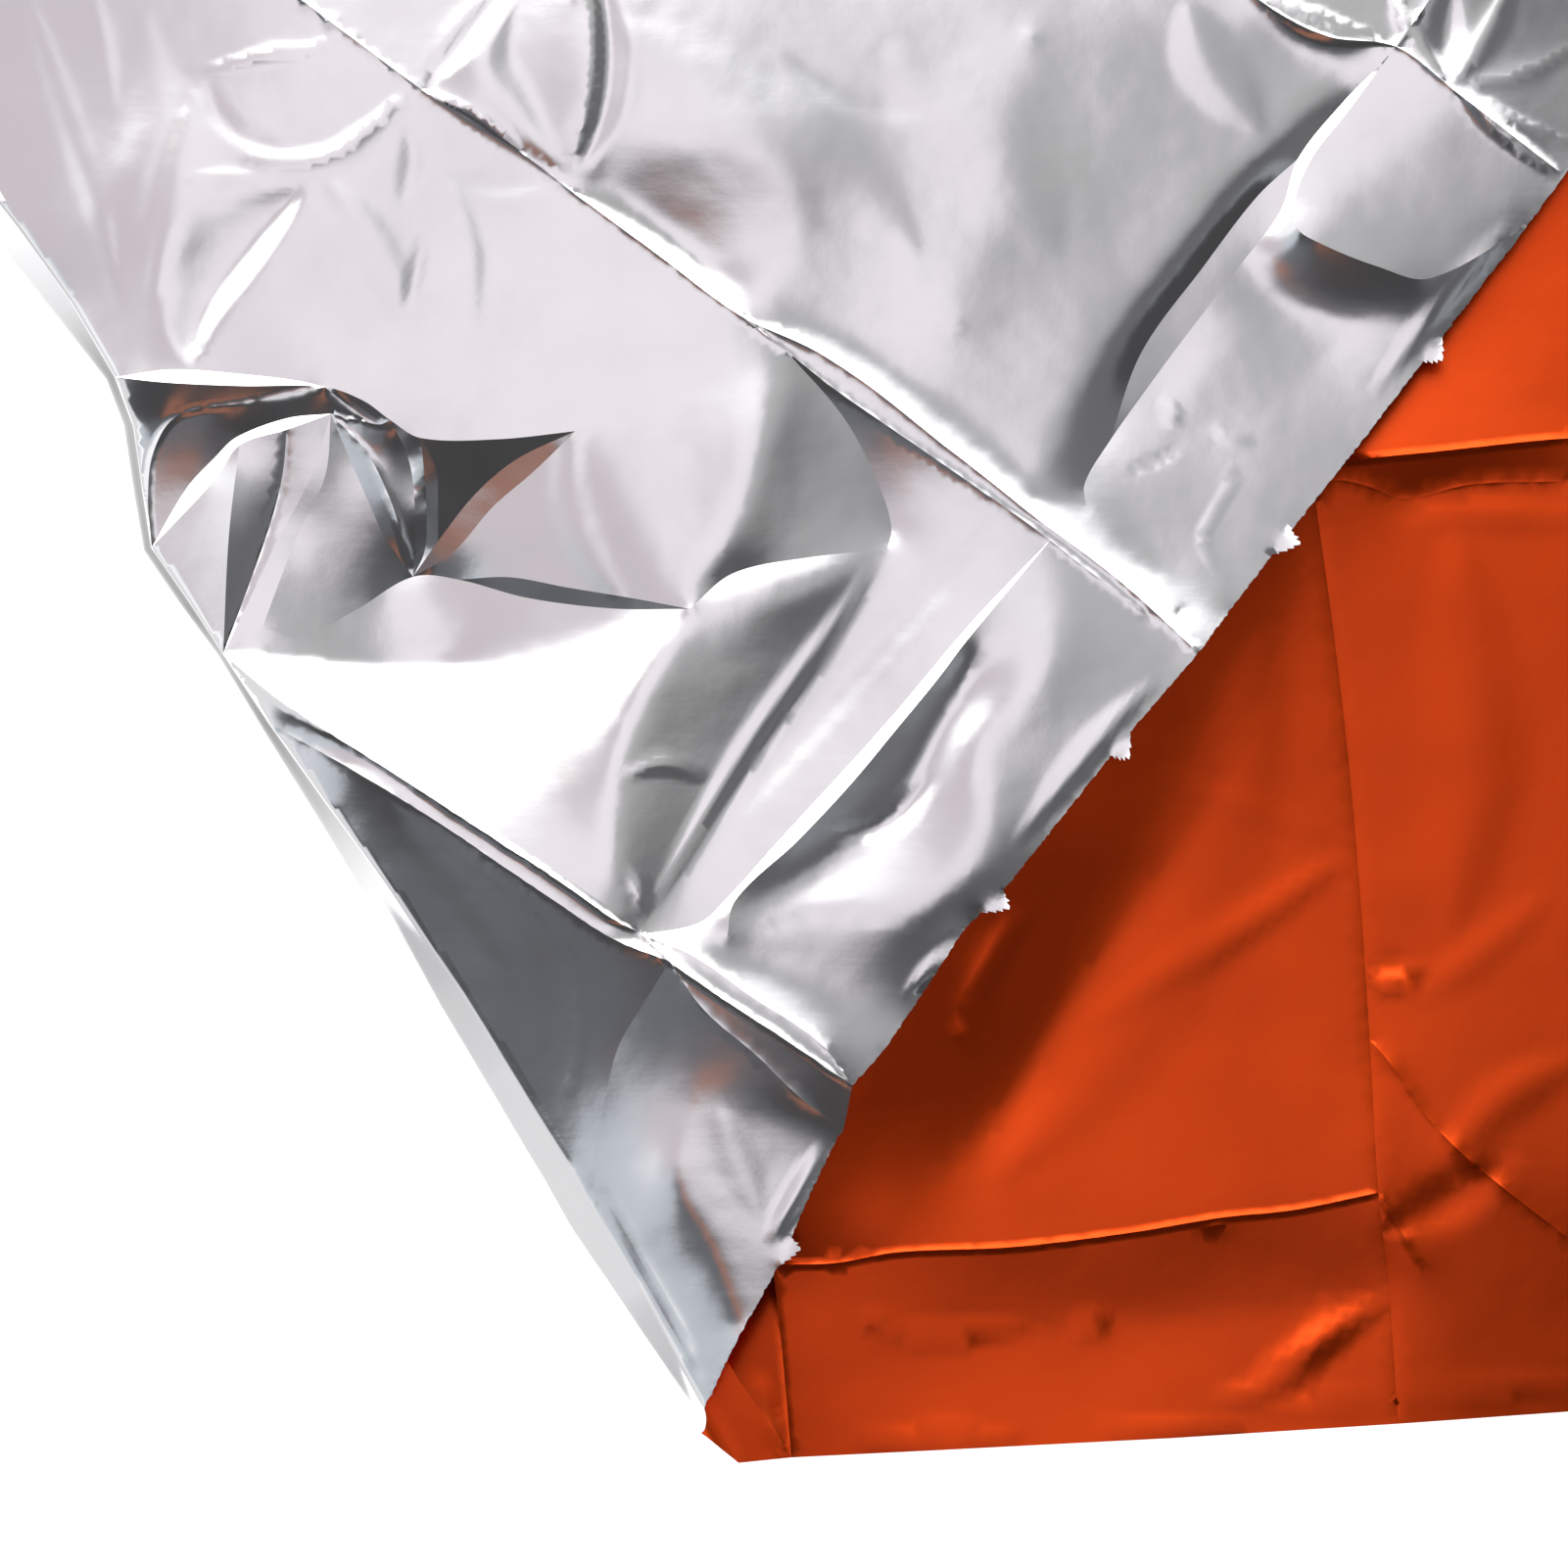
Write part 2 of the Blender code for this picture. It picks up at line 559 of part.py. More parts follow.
def height_over(lines):
    """A function of the height at a place in plan, straight between the lines."""
    heights = {place(point): point.z for line in lines for point in line}
    points, faces = triangulated(lines, [])
    corners = [Vector((p.x, p.y, heights.get(place(p), 0.0))) for p in points]
    tree = BVHTree.FromPolygons(corners, faces)

    def height(spot):
        above = Vector((spot.x, spot.y, 100.0))
        hit = tree.ray_cast(above, Vector((0.0, 0.0, -1.0)))[0]
        return hit.z if hit else tree.find_nearest(Vector((spot.x, spot.y, 10.0)))[0].z

    return height


def add_layer(mesh, outline, folds, pitch):
    """Adds one layer of the sheet to the mesh: straight along its folds, and stretched between them."""
    lines = [outline] + folds
    known = {place(point): point.z for line in lines for point in line}
    height = height_over(lines)
    points, faces = triangulated(lines, filling(outline, lines, pitch))
    verts = []
    loose = []
    for point in points:
        held = place(point) in known
        z = known[place(point)] if held else height(point)
        verts.append(mesh.verts.new((point.x, point.y, z)))
        if not held:
            loose.append(verts[-1])
    for face in faces:
        mesh.faces.new([verts[i] for i in face])
    for _ in range(SOFTENING):
        bmesh.ops.smooth_vert(mesh, verts=loose, factor=0.5, use_axis_z=True)


def add_roll(mesh, tops, outers, unders):
    row = {place(top): i for i, top in enumerate(tops)}
    edges = [e for e in mesh.edges if e.is_boundary and all(place(v.co) in row for v in e.verts)]
    which = {vert: row[place(vert.co)] for edge in edges for vert in edge.verts}
    for out, high in ROLL_SECTION[1:]:
        where = {tuple(vert.co): i for vert, i in which.items()}
        made = bmesh.ops.extrude_edge_only(mesh, edges=edges)["geom"]
        which = {g: where[tuple(g.co)] for g in made if isinstance(g, bmesh.types.BMVert)}
        edges = [g for g in made if isinstance(g, bmesh.types.BMEdge)]
        edges = [edge for edge in edges if all(vert in which for vert in edge.verts)]
        for vert, i in which.items():
            inner = tops[i].lerp(unders[i], 1.0 - high)
            vert.co = inner + (outers[i] - inner) * out
            vert.co.z = inner.z


def sheet_mesh():
    mesh = bmesh.new()
    tops, outers, unders = roll_lines()

    upper = {name: Vector(spot) for name, spot in UPPER_POINTS.items()}
    for i, station in enumerate(ROLL):
        upper[f"roll {i}"] = Vector((station.top_x, station.top_y, station.height))
    rim = walk([tops[0]] + [upper[name] for name in UPPER_RIM] + [tops[-1]], FOLD_PITCH)
    outline = rim + tops[-2::-1]
    folds = [walk(named(upper, names), FOLD_PITCH) for names in UPPER_FOLDS.values()]
    add_layer(mesh, outline, folds, UPPER_PITCH)
    add_roll(mesh, tops, outers, unders)

    lower = {name: Vector(spot) for name, spot in LOWER_POINTS.items()}
    rim = walk([unders[0]] + [lower[name] for name in LOWER_RIM] + [unders[-1]], FOLD_PITCH)
    outline = rim + unders[-2::-1]
    folds = [walk(named(lower, names), FOLD_PITCH) for names in LOWER_FOLDS.values()]
    add_layer(mesh, outline, folds, LOWER_PITCH)

    bmesh.ops.remove_doubles(mesh, verts=mesh.verts, dist=0.01)
    bmesh.ops.recalc_face_normals(mesh, faces=mesh.faces)
    highest = max(mesh.faces, key=lambda face: face.calc_center_median().z)
    if highest.normal.z < 0:
        bmesh.ops.reverse_faces(mesh, faces=mesh.faces)
    return mesh


def centred(mesh):
    """Moves the mesh over the origin and into metres."""
    xs = [vert.co.x for vert in mesh.verts]
    ys = [vert.co.y for vert in mesh.verts]
    middle = Vector(((min(xs) + max(xs)) / 2, (min(ys) + max(ys)) / 2, 0.0))
    bmesh.ops.translate(mesh, verts=mesh.verts, vec=-middle)
    bmesh.ops.scale(mesh, verts=mesh.verts, vec=(MM, MM, MM))


def foil_material():
    material = bpy.data.materials.new("foil")
    material.use_nodes = True
    shader = material.node_tree.nodes["Principled BSDF"]
    shader.inputs["Base Color"].default_value = SILVER
    shader.inputs["Metallic"].default_value = 1.0
    shader.inputs["Roughness"].default_value = 0.15
    return material


def build():
    for obj in list(bpy.data.objects):
        bpy.data.objects.remove(obj, do_unlink=True)
    collection = bpy.data.collections.new("emergency_foil")
    bpy.context.scene.collection.children.link(collection)

    mesh = sheet_mesh()
    centred(mesh)
    data = bpy.data.meshes.new("foil_sheet")
    mesh.to_mesh(data)
    mesh.free()
    data.materials.append(foil_material())
    sheet = bpy.data.objects.new("foil_sheet", data)
    collection.objects.link(sheet)
    wall = sheet.modifiers.new("film", "SOLIDIFY")
    wall.thickness = THICKNESS * MM
    wall.offset = -1.0
    wall.use_even_offset = True
    wall.thickness_clamp = 1.0


build()
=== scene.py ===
"""Looks of a cut length of two-faced emergency foil, turned over on itself along a slanting fold.

Tables of the folds are in millimetres, right, away from the hem and up, as in the solid's own source.
The finished meshes are in metres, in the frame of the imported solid.
"""

import math
from collections import namedtuple

import bmesh
import bpy
import numpy as np
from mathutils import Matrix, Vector, geometry, kdtree, noise
from mathutils.bvhtree import BVHTree


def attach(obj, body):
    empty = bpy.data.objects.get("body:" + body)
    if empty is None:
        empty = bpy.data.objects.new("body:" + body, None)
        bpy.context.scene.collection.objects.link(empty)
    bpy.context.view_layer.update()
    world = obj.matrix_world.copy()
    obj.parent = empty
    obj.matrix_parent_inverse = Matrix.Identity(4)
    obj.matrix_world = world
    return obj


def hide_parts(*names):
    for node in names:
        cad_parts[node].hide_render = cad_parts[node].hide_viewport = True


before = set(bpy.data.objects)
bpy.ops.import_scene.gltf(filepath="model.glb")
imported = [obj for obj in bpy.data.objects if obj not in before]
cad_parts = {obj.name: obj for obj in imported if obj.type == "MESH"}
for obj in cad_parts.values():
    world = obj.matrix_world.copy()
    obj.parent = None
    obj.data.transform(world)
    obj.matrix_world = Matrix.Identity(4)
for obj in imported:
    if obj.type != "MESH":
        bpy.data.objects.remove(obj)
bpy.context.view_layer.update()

bl_info = {
    "name": "Emergency Foil Sheet",
    "version": (1, 0, 0),
    "blender": (4, 5, 0),
    "location": "View3D > Sidebar > Foil",
    "description": "Builds a folded length of silver and orange emergency foil and its studio",
    "category": "Add Mesh",
}

MM = 0.001

# Lengths and heights are in millimetres.
VIEW_HALF = 142.0    # half width of the part of the sheet that is modelled finely
FIELD = ((-200.0, 200.0), (-140.0, 300.0))    # the sheet's reach to the right and away
FLAP_LINE = (1.0, -0.71)    # right and away, summed in these shares, are the same all along the free edge
UNDER_FLAP = 38.0    # that sum, up to which the turned-over layer hides the one below
ABOVE = 8.0          # height over which all of the sheet is the turned-over layer
SKY, HALFWAY_UP = 100.0, 10.0    # heights well over the sheet and about halfway up it
JOINED = 0.004       # points of the layers and the roll that are closer than this become one
SAME_PLACE = 1e-4    # points of one layer that are closer than this are the same
TINY, FAR_OFF = 1e-9, 1e9    # next to nothing, and farther than anything

WELT = 0.6           # half width of the thin welt that stands along a pressed crease
HIGH_WELT = 0.15     # height from which a welt has a second pair of lines beside it
# Where points lie beside a crease, and how far they keep from other folds, in widths of the welt.
WELT_LINES = ((-1.0, 0.7), (1.0, 0.7), (-2.3, 5.0), (2.3, 5.0))
WELT_CLEAR = (0.7, 3.0, 0.8)    # and how far from all folds, from the rim and from each other

CLEARANCE = 0.62     # how far points between the folds keep from them, in spacings
FREE_EDGE, FOLDS_ABOVE, FOLDS_BELOW = 0.5, 0.8, 0.45    # spacing along lines, in their layer's spacings
RIDGE_STEP = 1.3     # spacing along the crest of a swell
SPINDLE, END_WIDTH = 0.7, 1e-6    # how a swell narrows to its ends, and the share that is left there
CRINKLE, UNEVEN = 0.9, 0.7     # how quickly the noise changes along creases and along welts
STEADY, UNSTEADY = 0.8, 0.7    # shares of a welt's height that are steady, and that the noise changes
WAVES = ((0.10, 17.0), (0.012, 4.0))    # height and length of the film's slight waviness
PULL_RANGE = (0.02, 20.0)    # least and greatest pull along an edge of the mesh
STRETCHING = 900     # steps, at most, in which the film is stretched between its folds
AT_REST = 1e-9       # size of the forces at which it has come to rest
EASING = 18          # passes that round a soft fold
EASE_SHARE, LEAST_STIFF = 0.5, 0.5    # share of the way in each pass, and least stiffness to divide by

ROLL_STEPS = 18      # facets around the open roll
SECTION_STEP = 0.02  # spacing along its section, in shares of its height
PAINTED_SHADE_FROM, PAINTED_SHADE_RANGE = 1.5, 5.3    # steepness from which painted shade darkens the roll's steep side, and over what range
BUMP_DEPTH = 0.0005  # depth, in metres, of the finest unevenness of both faces
FLOOR_AT = -0.0003   # height of the floor, in metres
OVERHEAD = 1.001     # a direction's height is added to this, just over 1 so that nothing divides by 0

# The open roll, from the hem to the far end: its outermost line in plan, the line where it meets
# the turned-over layer, and its height. It meets the ground right under that second line, but for
# the place of its hem end.
Roll = namedtuple("Roll", "outer_x outer_y top_x top_y height")
ROLL = [Roll(*row) for row in (
    (-15, -114, -14, -109.5, 8.2), (-24, -100, -20, -97.5, 8.4), (-30.5, -90, -25.5, -87, 8.5),
    (-38.5, -78, -33, -74.5, 8.6), (-43, -70, -37.3, -66.5, 8.9), (-49.2, -60, -43.6, -56.5, 9.4),
    (-61.5, -40, -55.9, -36.6, 10.8), (-73.5, -20, -69.3, -17.3, 12.2), (-82.5, -5, -80, -3.3, 12.6),
    (-91.5, 9.5, -90, 10.5, 12.2), (-99.3, 22.5, -98.2, 22.8, 11.8), (-106, 31.5, -104.3, 32.2, 11.2),
    (-112.5, 41, -110.8, 41.5, 10.6), (-114.3, 51.5, -112.3, 51.5, 11), (-116, 63, -113.8, 62.5, 11.8),
    (-119, 71, -117, 71.2, 13.2), (-128, 82.5, -124.5, 84.5, 12.6), (-138, 95, -133.5, 97.5, 12.4),
    (-163, 126.5, -158.5, 129.5, 11))]
UNDER_HEM = (-8, -119.5)

# The roll's section: share of the way out, and share of its height.
ROLL_SECTION = ((0, 1), (0.3, 0.86), (0.7, 0.68), (0.95, 0.5), (1, 0.34), (0.9, 0.15), (0.55, 0.03), (0, 0))

# Points of the turned-over layer that its rim or more than one fold goes through: right, away, up.
UPPER_POINTS = {
    # torn edge, from the hem end of the roll to the free corner
    "edge 1": (-8, -97, 11.4), "edge 2": (-0.5, -83.5, 12.4), "edge 3": (4, -73, 12.6),
    "edge 4": (8.8, -63, 13), "edge 5": (10.3, -60.5, 13.4), "edge 6": (12, -52.7, 15),
    "edge 7": (17.5, -46.5, 13.85), "edge 8": (24, -37, 13), "edge 9": (31.5, -25.5, 13.7),
    "edge 10": (38.5, -18.5, 14.4), "edge 11": (50, -4, 14.75), "edge 12": (60, 8.5, 14.85),
    "edge 13": (72.5, 23, 14.5), "edge 14": (78.5, 31, 13.2), "edge 15": (88, 43.5, 12.4),
    "edge 16": (100, 58.5, 11.9), "edge 17": (115, 78, 11.6), "edge 18": (130, 97.5, 12.8),
    "edge 19": (136.5, 106.5, 13.4), "corner": (157, 137.5, 8.5),
    # cut sides
    "side 1": (127, 158, 12.6), "side 2": (14, 235, 14.4), "far corner": (-49.5, 278.5, 11),
    "end 1": (-72, 248, 13.6), "end 2": (-129.5, 171.5, 15.2),
    # the long creases, and where others branch off them
    "B": (-63.5, 121.5, 15.9), "B2": (-37, 103.5, 15.6), "C": (-7.8, 82, 15.4), "E": (0.3, 75.8, 15.25),
    "O": (46.5, 42.6, 14.9), "G5": (44, 49.6, 13.9), "G6": (53, 48.5, 13.5), "N": (-25, -26.3, 15.2),
    "N1": (-20, -31, 15.8), "L1": (84, 136.5, 14.8), "F": (107, 129, 14.4), "G": (117, 121.5, 14.6),
    # along the cross creases
    "F1": (98, 119.5, 13.3), "F2": (90, 109.5, 13), "F4": (80, 91, 12.3), "F7": (57, 60, 12.6),
    "P4": (89.5, 97.5, 14.1), "R1": (31.5, 24.5, 15.4), "R7": (-10, -27, 15.2), "W6": (33, -15, 15.3),
    "T3": (-31.5, -56, 11.4), "T5": (-16, -58, 13.5), "Z7": (-104.5, 124, 14.9),
    # in the buckled part beside the roll
    "A3": (-107, 72.5, 14.7), "I2": (-80.3, 69.4, 15.3), "I3": (-68.8, 63.6, 15.2),
    "I6": (-71.3, 62.9, 14.5), "I": (-79.3, 64.8, 13.5), "D1": (-63.5, 60.5, 15), "D": (-36.5, 61.7, 14.9),
    "H2": (-95.3, 59.3, 13.35), "X3": (-87, 62, 13.6), "X22": (-91.5, 27, 11.9), "K": (-65, 36.3, 10.4),
    "X30": (-60.6, 42.5, 11.47), "K9": (-57, 35.8, 10.95), "L": (-16.5, 30.6, 15.8), "M": (18, 41, 14.15),
}

# The creases of the turned-over layer. Each goes through points that are named above, and through
# points of its own, which are given by how far right, away and up they are.
UPPER_FOLDS = {
    "first long crease":
        "end 2, B, -45.5 110 15.5, B2, -22 92.5 15.6, C, 5 76 15.35, 15 69.5 15.25, 27 60 15.1, 36 53 15, "
        "43.5 47 14.9, 58.5 35.7 14.6, edge 13",
    "its second line": "C, E, 8.5 69.3 15.2, 27 56.5 15.05, 43 45.3 14.95, O, 63.5 29.4 14.5",
    "its far foot":
        "C, 5 80.2 14.75, 17 73 14.4, 29 63.5 14.2, 38 55 14, G5, G6, 64 37 13.2, 69.5 29.8 13.8",
    "hollow beside it": "B2, -32 102.5 14.95, -19.5 93.5 14.25, -11 86.5 14.42, C",
    "rim of that hollow": "B2, -30 107 15.62, -20 113.5 16.6, -3 109.5 16.5, 2.4 98.5 15.95, -1 89 15.4, C",
    "second long crease":
        "roll 10, -88 14.5 14.2, -70 3 15.2, -50 -10 15.8, -40 -16.5 16, -30 -23.5 15.9, N, N1, "
        "-10 -38 15.8, 0 -44.5 15.7, edge 6",
    "its lower edge": "roll 9, -75 2.2 15, -60 -7 15.3, -50 -13.8 15.6, -40 -20.5 15.7, -30 -27 15.7, N1",
    "its hem strip": "N1, -14 -39.5 15.4, -5 -47.3 15, 3 -55 14.3, edge 5",
    "its upper edge": "N, -16 -30 15.5, -5 -37.6 15.5, 6 -45 15.3, edge 6",
    "its far foot, hem part": "R7, -9 -29.5 14.7, 2 -34.5 14.4, 11 -40.5 14, edge 7",
    "third long crease": "end 1, L1, 95 130.8 14.6, F, G, edge 19",
    "its near foot": "L1, 88 131.6 13.8, 99 128.6 13.9, F",
    "first cross crease":
        "side 1, F, F1, F2, 87 100.5 12.7, F4, 70 78 12.2, 63 68.5 12.3, F7, 52.6 52.5 13.2, G6",
    "its dark shoulder":
        "F1, 86.5 112 14, 78.8 102.5 13.95, 69.3 90.5 13.95, 59 77.2 13.95, 49 62 14.05, 44.5 51.8 14.2, "
        "G5",
    "its foot": "F2, 82.8 102.8 12.75, 73.6 90.8 12.45, 62.6 75.6 12.45, F7",
    "low swell in the panel": "43 130 15.3, 39 112 15.4, 35 95 15.1, 30 80 14.8",
    "pillow rim":
        "F, 98.5 117.5 13.8, 92.3 109.5 13.75, 89.3 102 13.85, P4, 94 94.5 14.2, 104 90.5 13.9, "
        "113 88.5 13.25, edge 18",
    "pillow foot": "F4, 87 83.5 11.7, 98 80.8 11.8, 107 82.8 12.3, edge 17",
    "pillow swell": "G, 104 107 14, P4",
    "pillow far side": "G, 122 112 13.9, 127 103 13.4, edge 18",
    "near part of the cross crease":
        "O, 33 28.5 14.9, 17.3 10 14.8, -1 -10 14.8, -10 -20 14.8, -15 -24.3 14.9, N",
    "ridge beside it": "O, R1, 27 18.5 15.3, 20 10 15.3, 11.7 0 15.3, 2.3 -10 15.3, -8.5 -20.3 15.3, R7",
    "foot of that ridge": "R1, 32 21 14.3, 28 10 13.9, 19 -4 13.7, 8 -13 13.9, -3 -21 14.7, R7",
    "swell beyond": "O, 49 33 15.2, 45.5 19 15.85, 37 12 15.6, 31 5 15.4, 36.5 -6 15.5, W6, edge 9",
    "low swell beyond": "W6, 22 -23.5 15, 8 -22.5 15, -4 -25 15.1, R7",
    "hem part of the cross crease": "N1, -24 -37.5 14.4, -29 -46 12.7, T3, -33.3 -65 10, roll 3",
    "hem hollow": "T3, T5, -3 -57 13.7, edge 4",
    "hem swell": "T5, -20 -69 13.1, -13 -83 12.3, edge 1",
    "second cross crease": "side 2, -52.5 138 15.6, B, -72 112 15.8, -85 94 15.7, -96 80 15.3, A3",
    "left slope": "Z7, -106 96 15.2, -108 80 14.8, roll 15",
    "far left slope": "Z7, -117 104 14.6, roll 16",
    "ridge over the buckle":
        "roll 15, -108 70.2 15.1, -95 69.6 15.3, I2, -73.5 67 15.25, I3, D1, -50 60.3 14.9, D",
    "its far side": "roll 15, A3, -94 71.6 14.95, -85 70.5 15.1, I2",
    "pleat": "I2, -76 66 14.6, I6, I3",
    "pleat, near line": "I, I6",
    "upper arc": "roll 12, -111.4 50.5 11.2, -110.3 58.5 11.95, -106 64.5 13.1, -93 66.9 14.5, I2",
    "foot of the lower arc": "roll 12, -104.5 52 11.6, -99.5 57.3 12.3, -95.8 60.7 12.9, -87 64 13.1, I",
    "lower arc": "roll 12, -104 48.5 12, -99 54 12.68, H2, X3, I",
    "left ridge in the fan": "H2, -97.2 43 13, roll 10",
    "valley in the fan": "X3, -87.8 54 12.85, -90.3 44.5 12.2, roll 10",
    "ridge in the fan": "I, -82.5 54.5 13, -87.6 44.5 12.3, roll 10",
    "second valley in the fan": "I, -80.3 54 12.95, -85.2 43.5 12.2, X22",
    "fold down to K": "I, -73 58 13.7, -69.2 50.5 13.3, -67.2 44.5 12.4, K",
    "foot of that fold": "I, -76.5 58 12.95, -73 50 12.55, -70 43.5 11.9, K",
    "lens": "I3, -65.6 56.5 13.3, -64.6 47.5 12.7, K",
    "line beside the lens": "D1, -62.6 49 12.5, -62.9 41 11.05, K",
    "left strip in the dark facet": "D1, -60.9 55 13.9, -60.6 48 12.6, X30",
    "right strip in the dark facet": "D, -46.8 56.8 13.79, -54 50.8 12.68, X30, K",
    "peak to K": "D, -44 54.5 13.7, -51 48.5 12.6, -58 40.5 11.4, K",
    "shade over the foot": "K9, -48 36.2 12.25, -38 34.4 13.45, -26 32.4 14.75, L",
    "peak to L": "D, L",
    "foot of the buckle":
        "roll 10, X22, -85 25.7 11.5, -75 30.5 10.95, K, K9, -45 32.6 12.05, -30 30.7 13.95, L",
    "arc below it": "roll 10, -85 21.3 11.3, -60 20 10.1, -45 21.5 12.25, -30 26.3 14, L",
    "tent edge": "E, -4 60 16.3, -10 43 16.1, L",
    "curved tent edge": "E, 10.5 64 14.5, 16.3 53 13.9, 18.8 45 13.8, M",
    "tent foot": "L, -9 36.8 15.3, 4 39.6 14.8, M",
    "ridge under the tent": "L, -8 31.5 15.9, 6 36 15.3, M",
    "blade, left": "L, -23.5 21 16.3, -29.5 5 16.2, -29.5 -13 16.2, N",
    "blade, right": "M, 7 21 13.9, -6 3 14, -17 -14 14.5, N",
    "stripe in the panel": "-19 74 15.4, L",
    "top ridge": "-35.5 138 16.6, -33.5 122 16.9, -37 110 16.2, B2",
}

# The same for the layer that lies on the ground. Its ground line runs well under the other layer.
LOWER_POINTS = {
    # rim
    "hem 1": (1.3, -118.5, 0.8), "hem 2": (30, -117, 2.4), "hem 3": (68.5, -115, 2.6),
    "hem 4": (108, -112.5, 2.6), "hem corner": (165.5, -108.5, 0), "side 1": (162.5, -68.5, 2.4),
    "side 2": (155.5, 61, 2.6), "far corner": (150.5, 141, 1.6),
    # where creases meet
    "A6": (92, 58, 3), "X0": (-2, -84.5, 2.2), "X1": (9, -84.2, 2.2), "X": (104.5, -71.8, 2.9),
    "V1": (93.5, 49.5, 2.2), "V5": (103, -45, 2), "V6": (106.3, -88, 2.2),
}
LOWER_FOLDS = {
    "ground line": "hem 1, -13 -95 0, -16 -70 0, -2 -38 0, 35 12 0, 75 60 0, 112 105 0, far corner",
    "swell under the edge": "X0, -3 -72 3.8, 8 -52 4.4, 24 -28 4.4, 46 0 3.8, 72 32 3, A6",
    "foot of that swell": "X1, 19 -76 2.6, 38 -58 0.9, 54 -34 0.8, 72 -8 1.1, 84 18 1.4, V1",
    "crease along the hem":
        "X0, X1, 20 -82.3 2.35, 40 -81.4 2.5, 60 -79 2.5, 77 -76.2 2.7, 90 -74.8 2.7, X",
    "its soft end": "X, 128 -66.5 2.6, side 1",
    "slack line beside it":
        "X0, 1 -88.5 1.9, 13 -95 1.9, 26 -97 1.7, 42 -96 1.5, 70 -94 1.6, 103 -90 1.8, V6",
    "left crease": "X0, -0.3 -100 1.6, hem 1",
    "cross crease": "A6, V1, 96.5 28 1.5, 99 7 1.3, 101 -15 1.6, V5, X, V6, hem 4",
    "far crease": "A6, 97 57 2.7, 110 58 2.8, 138 60.8 3, side 2",
    "far crease, second line": "V1, 96 53.2 2.2, 102.5 52.4 2, 109 50.2 1.6, 121 52.7 1.9, 138 53.2 2.1",
    "slack curve": "V5, 106.5 -49 2.4, 113 -58.5 2.6, 121 -66.5 2.9, 138 -80 2",
    "short slack curve": "X, 112 -84.5 2.6",
}

# Folds that the film eases over in a soft bend.
SOFT_FOLDS = {
    "its far foot", "rim of that hollow", "hollow beside it", "its far foot, hem part", "its near foot",
    "its dark shoulder", "pillow foot", "pillow swell", "pillow far side", "foot of that ridge",
    "swell beyond", "low swell beyond", "hem hollow", "left slope", "far left slope", "second cross crease",
    "hem swell", "arc below it", "tent edge", "ridge under the tent", "blade, left", "blade, right",
    "peak to L", "stripe in the panel", "top ridge", "low swell in the panel", "swell under the edge",
    "foot of that swell", "slack line beside it", "its soft end",
}

# Pressed creases: how high their thin welt stands, and how far its crinkles step to the side.
PRESSED = {
    "first long crease": (0.12, 0.05), "its second line": (0.12, 0.05), "second long crease": (0.22, 0.14),
    "its lower edge": (0.08, 0.1), "its upper edge": (0.08, 0.1), "its hem strip": (0.06, 0.06),
    "third long crease": (0.12, 0.05), "upper arc": (0.18, 0.02), "fold down to K": (0.16, 0.02),
    "valley in the fan": (-0.12, 0.02), "pleat": (0.2, 0.02), "pleat, near line": (0.14, 0.02),
    "crease along the hem": (0.25, 0.04), "left crease": (0.16, 0.04), "cross crease": (-0.05, 0.02),
    "far crease": (0.22, 0.06), "far crease, second line": (0.1, 0.05), "slack curve": (0.1, 0.02),
    "short slack curve": (0.16, 0.03),
}

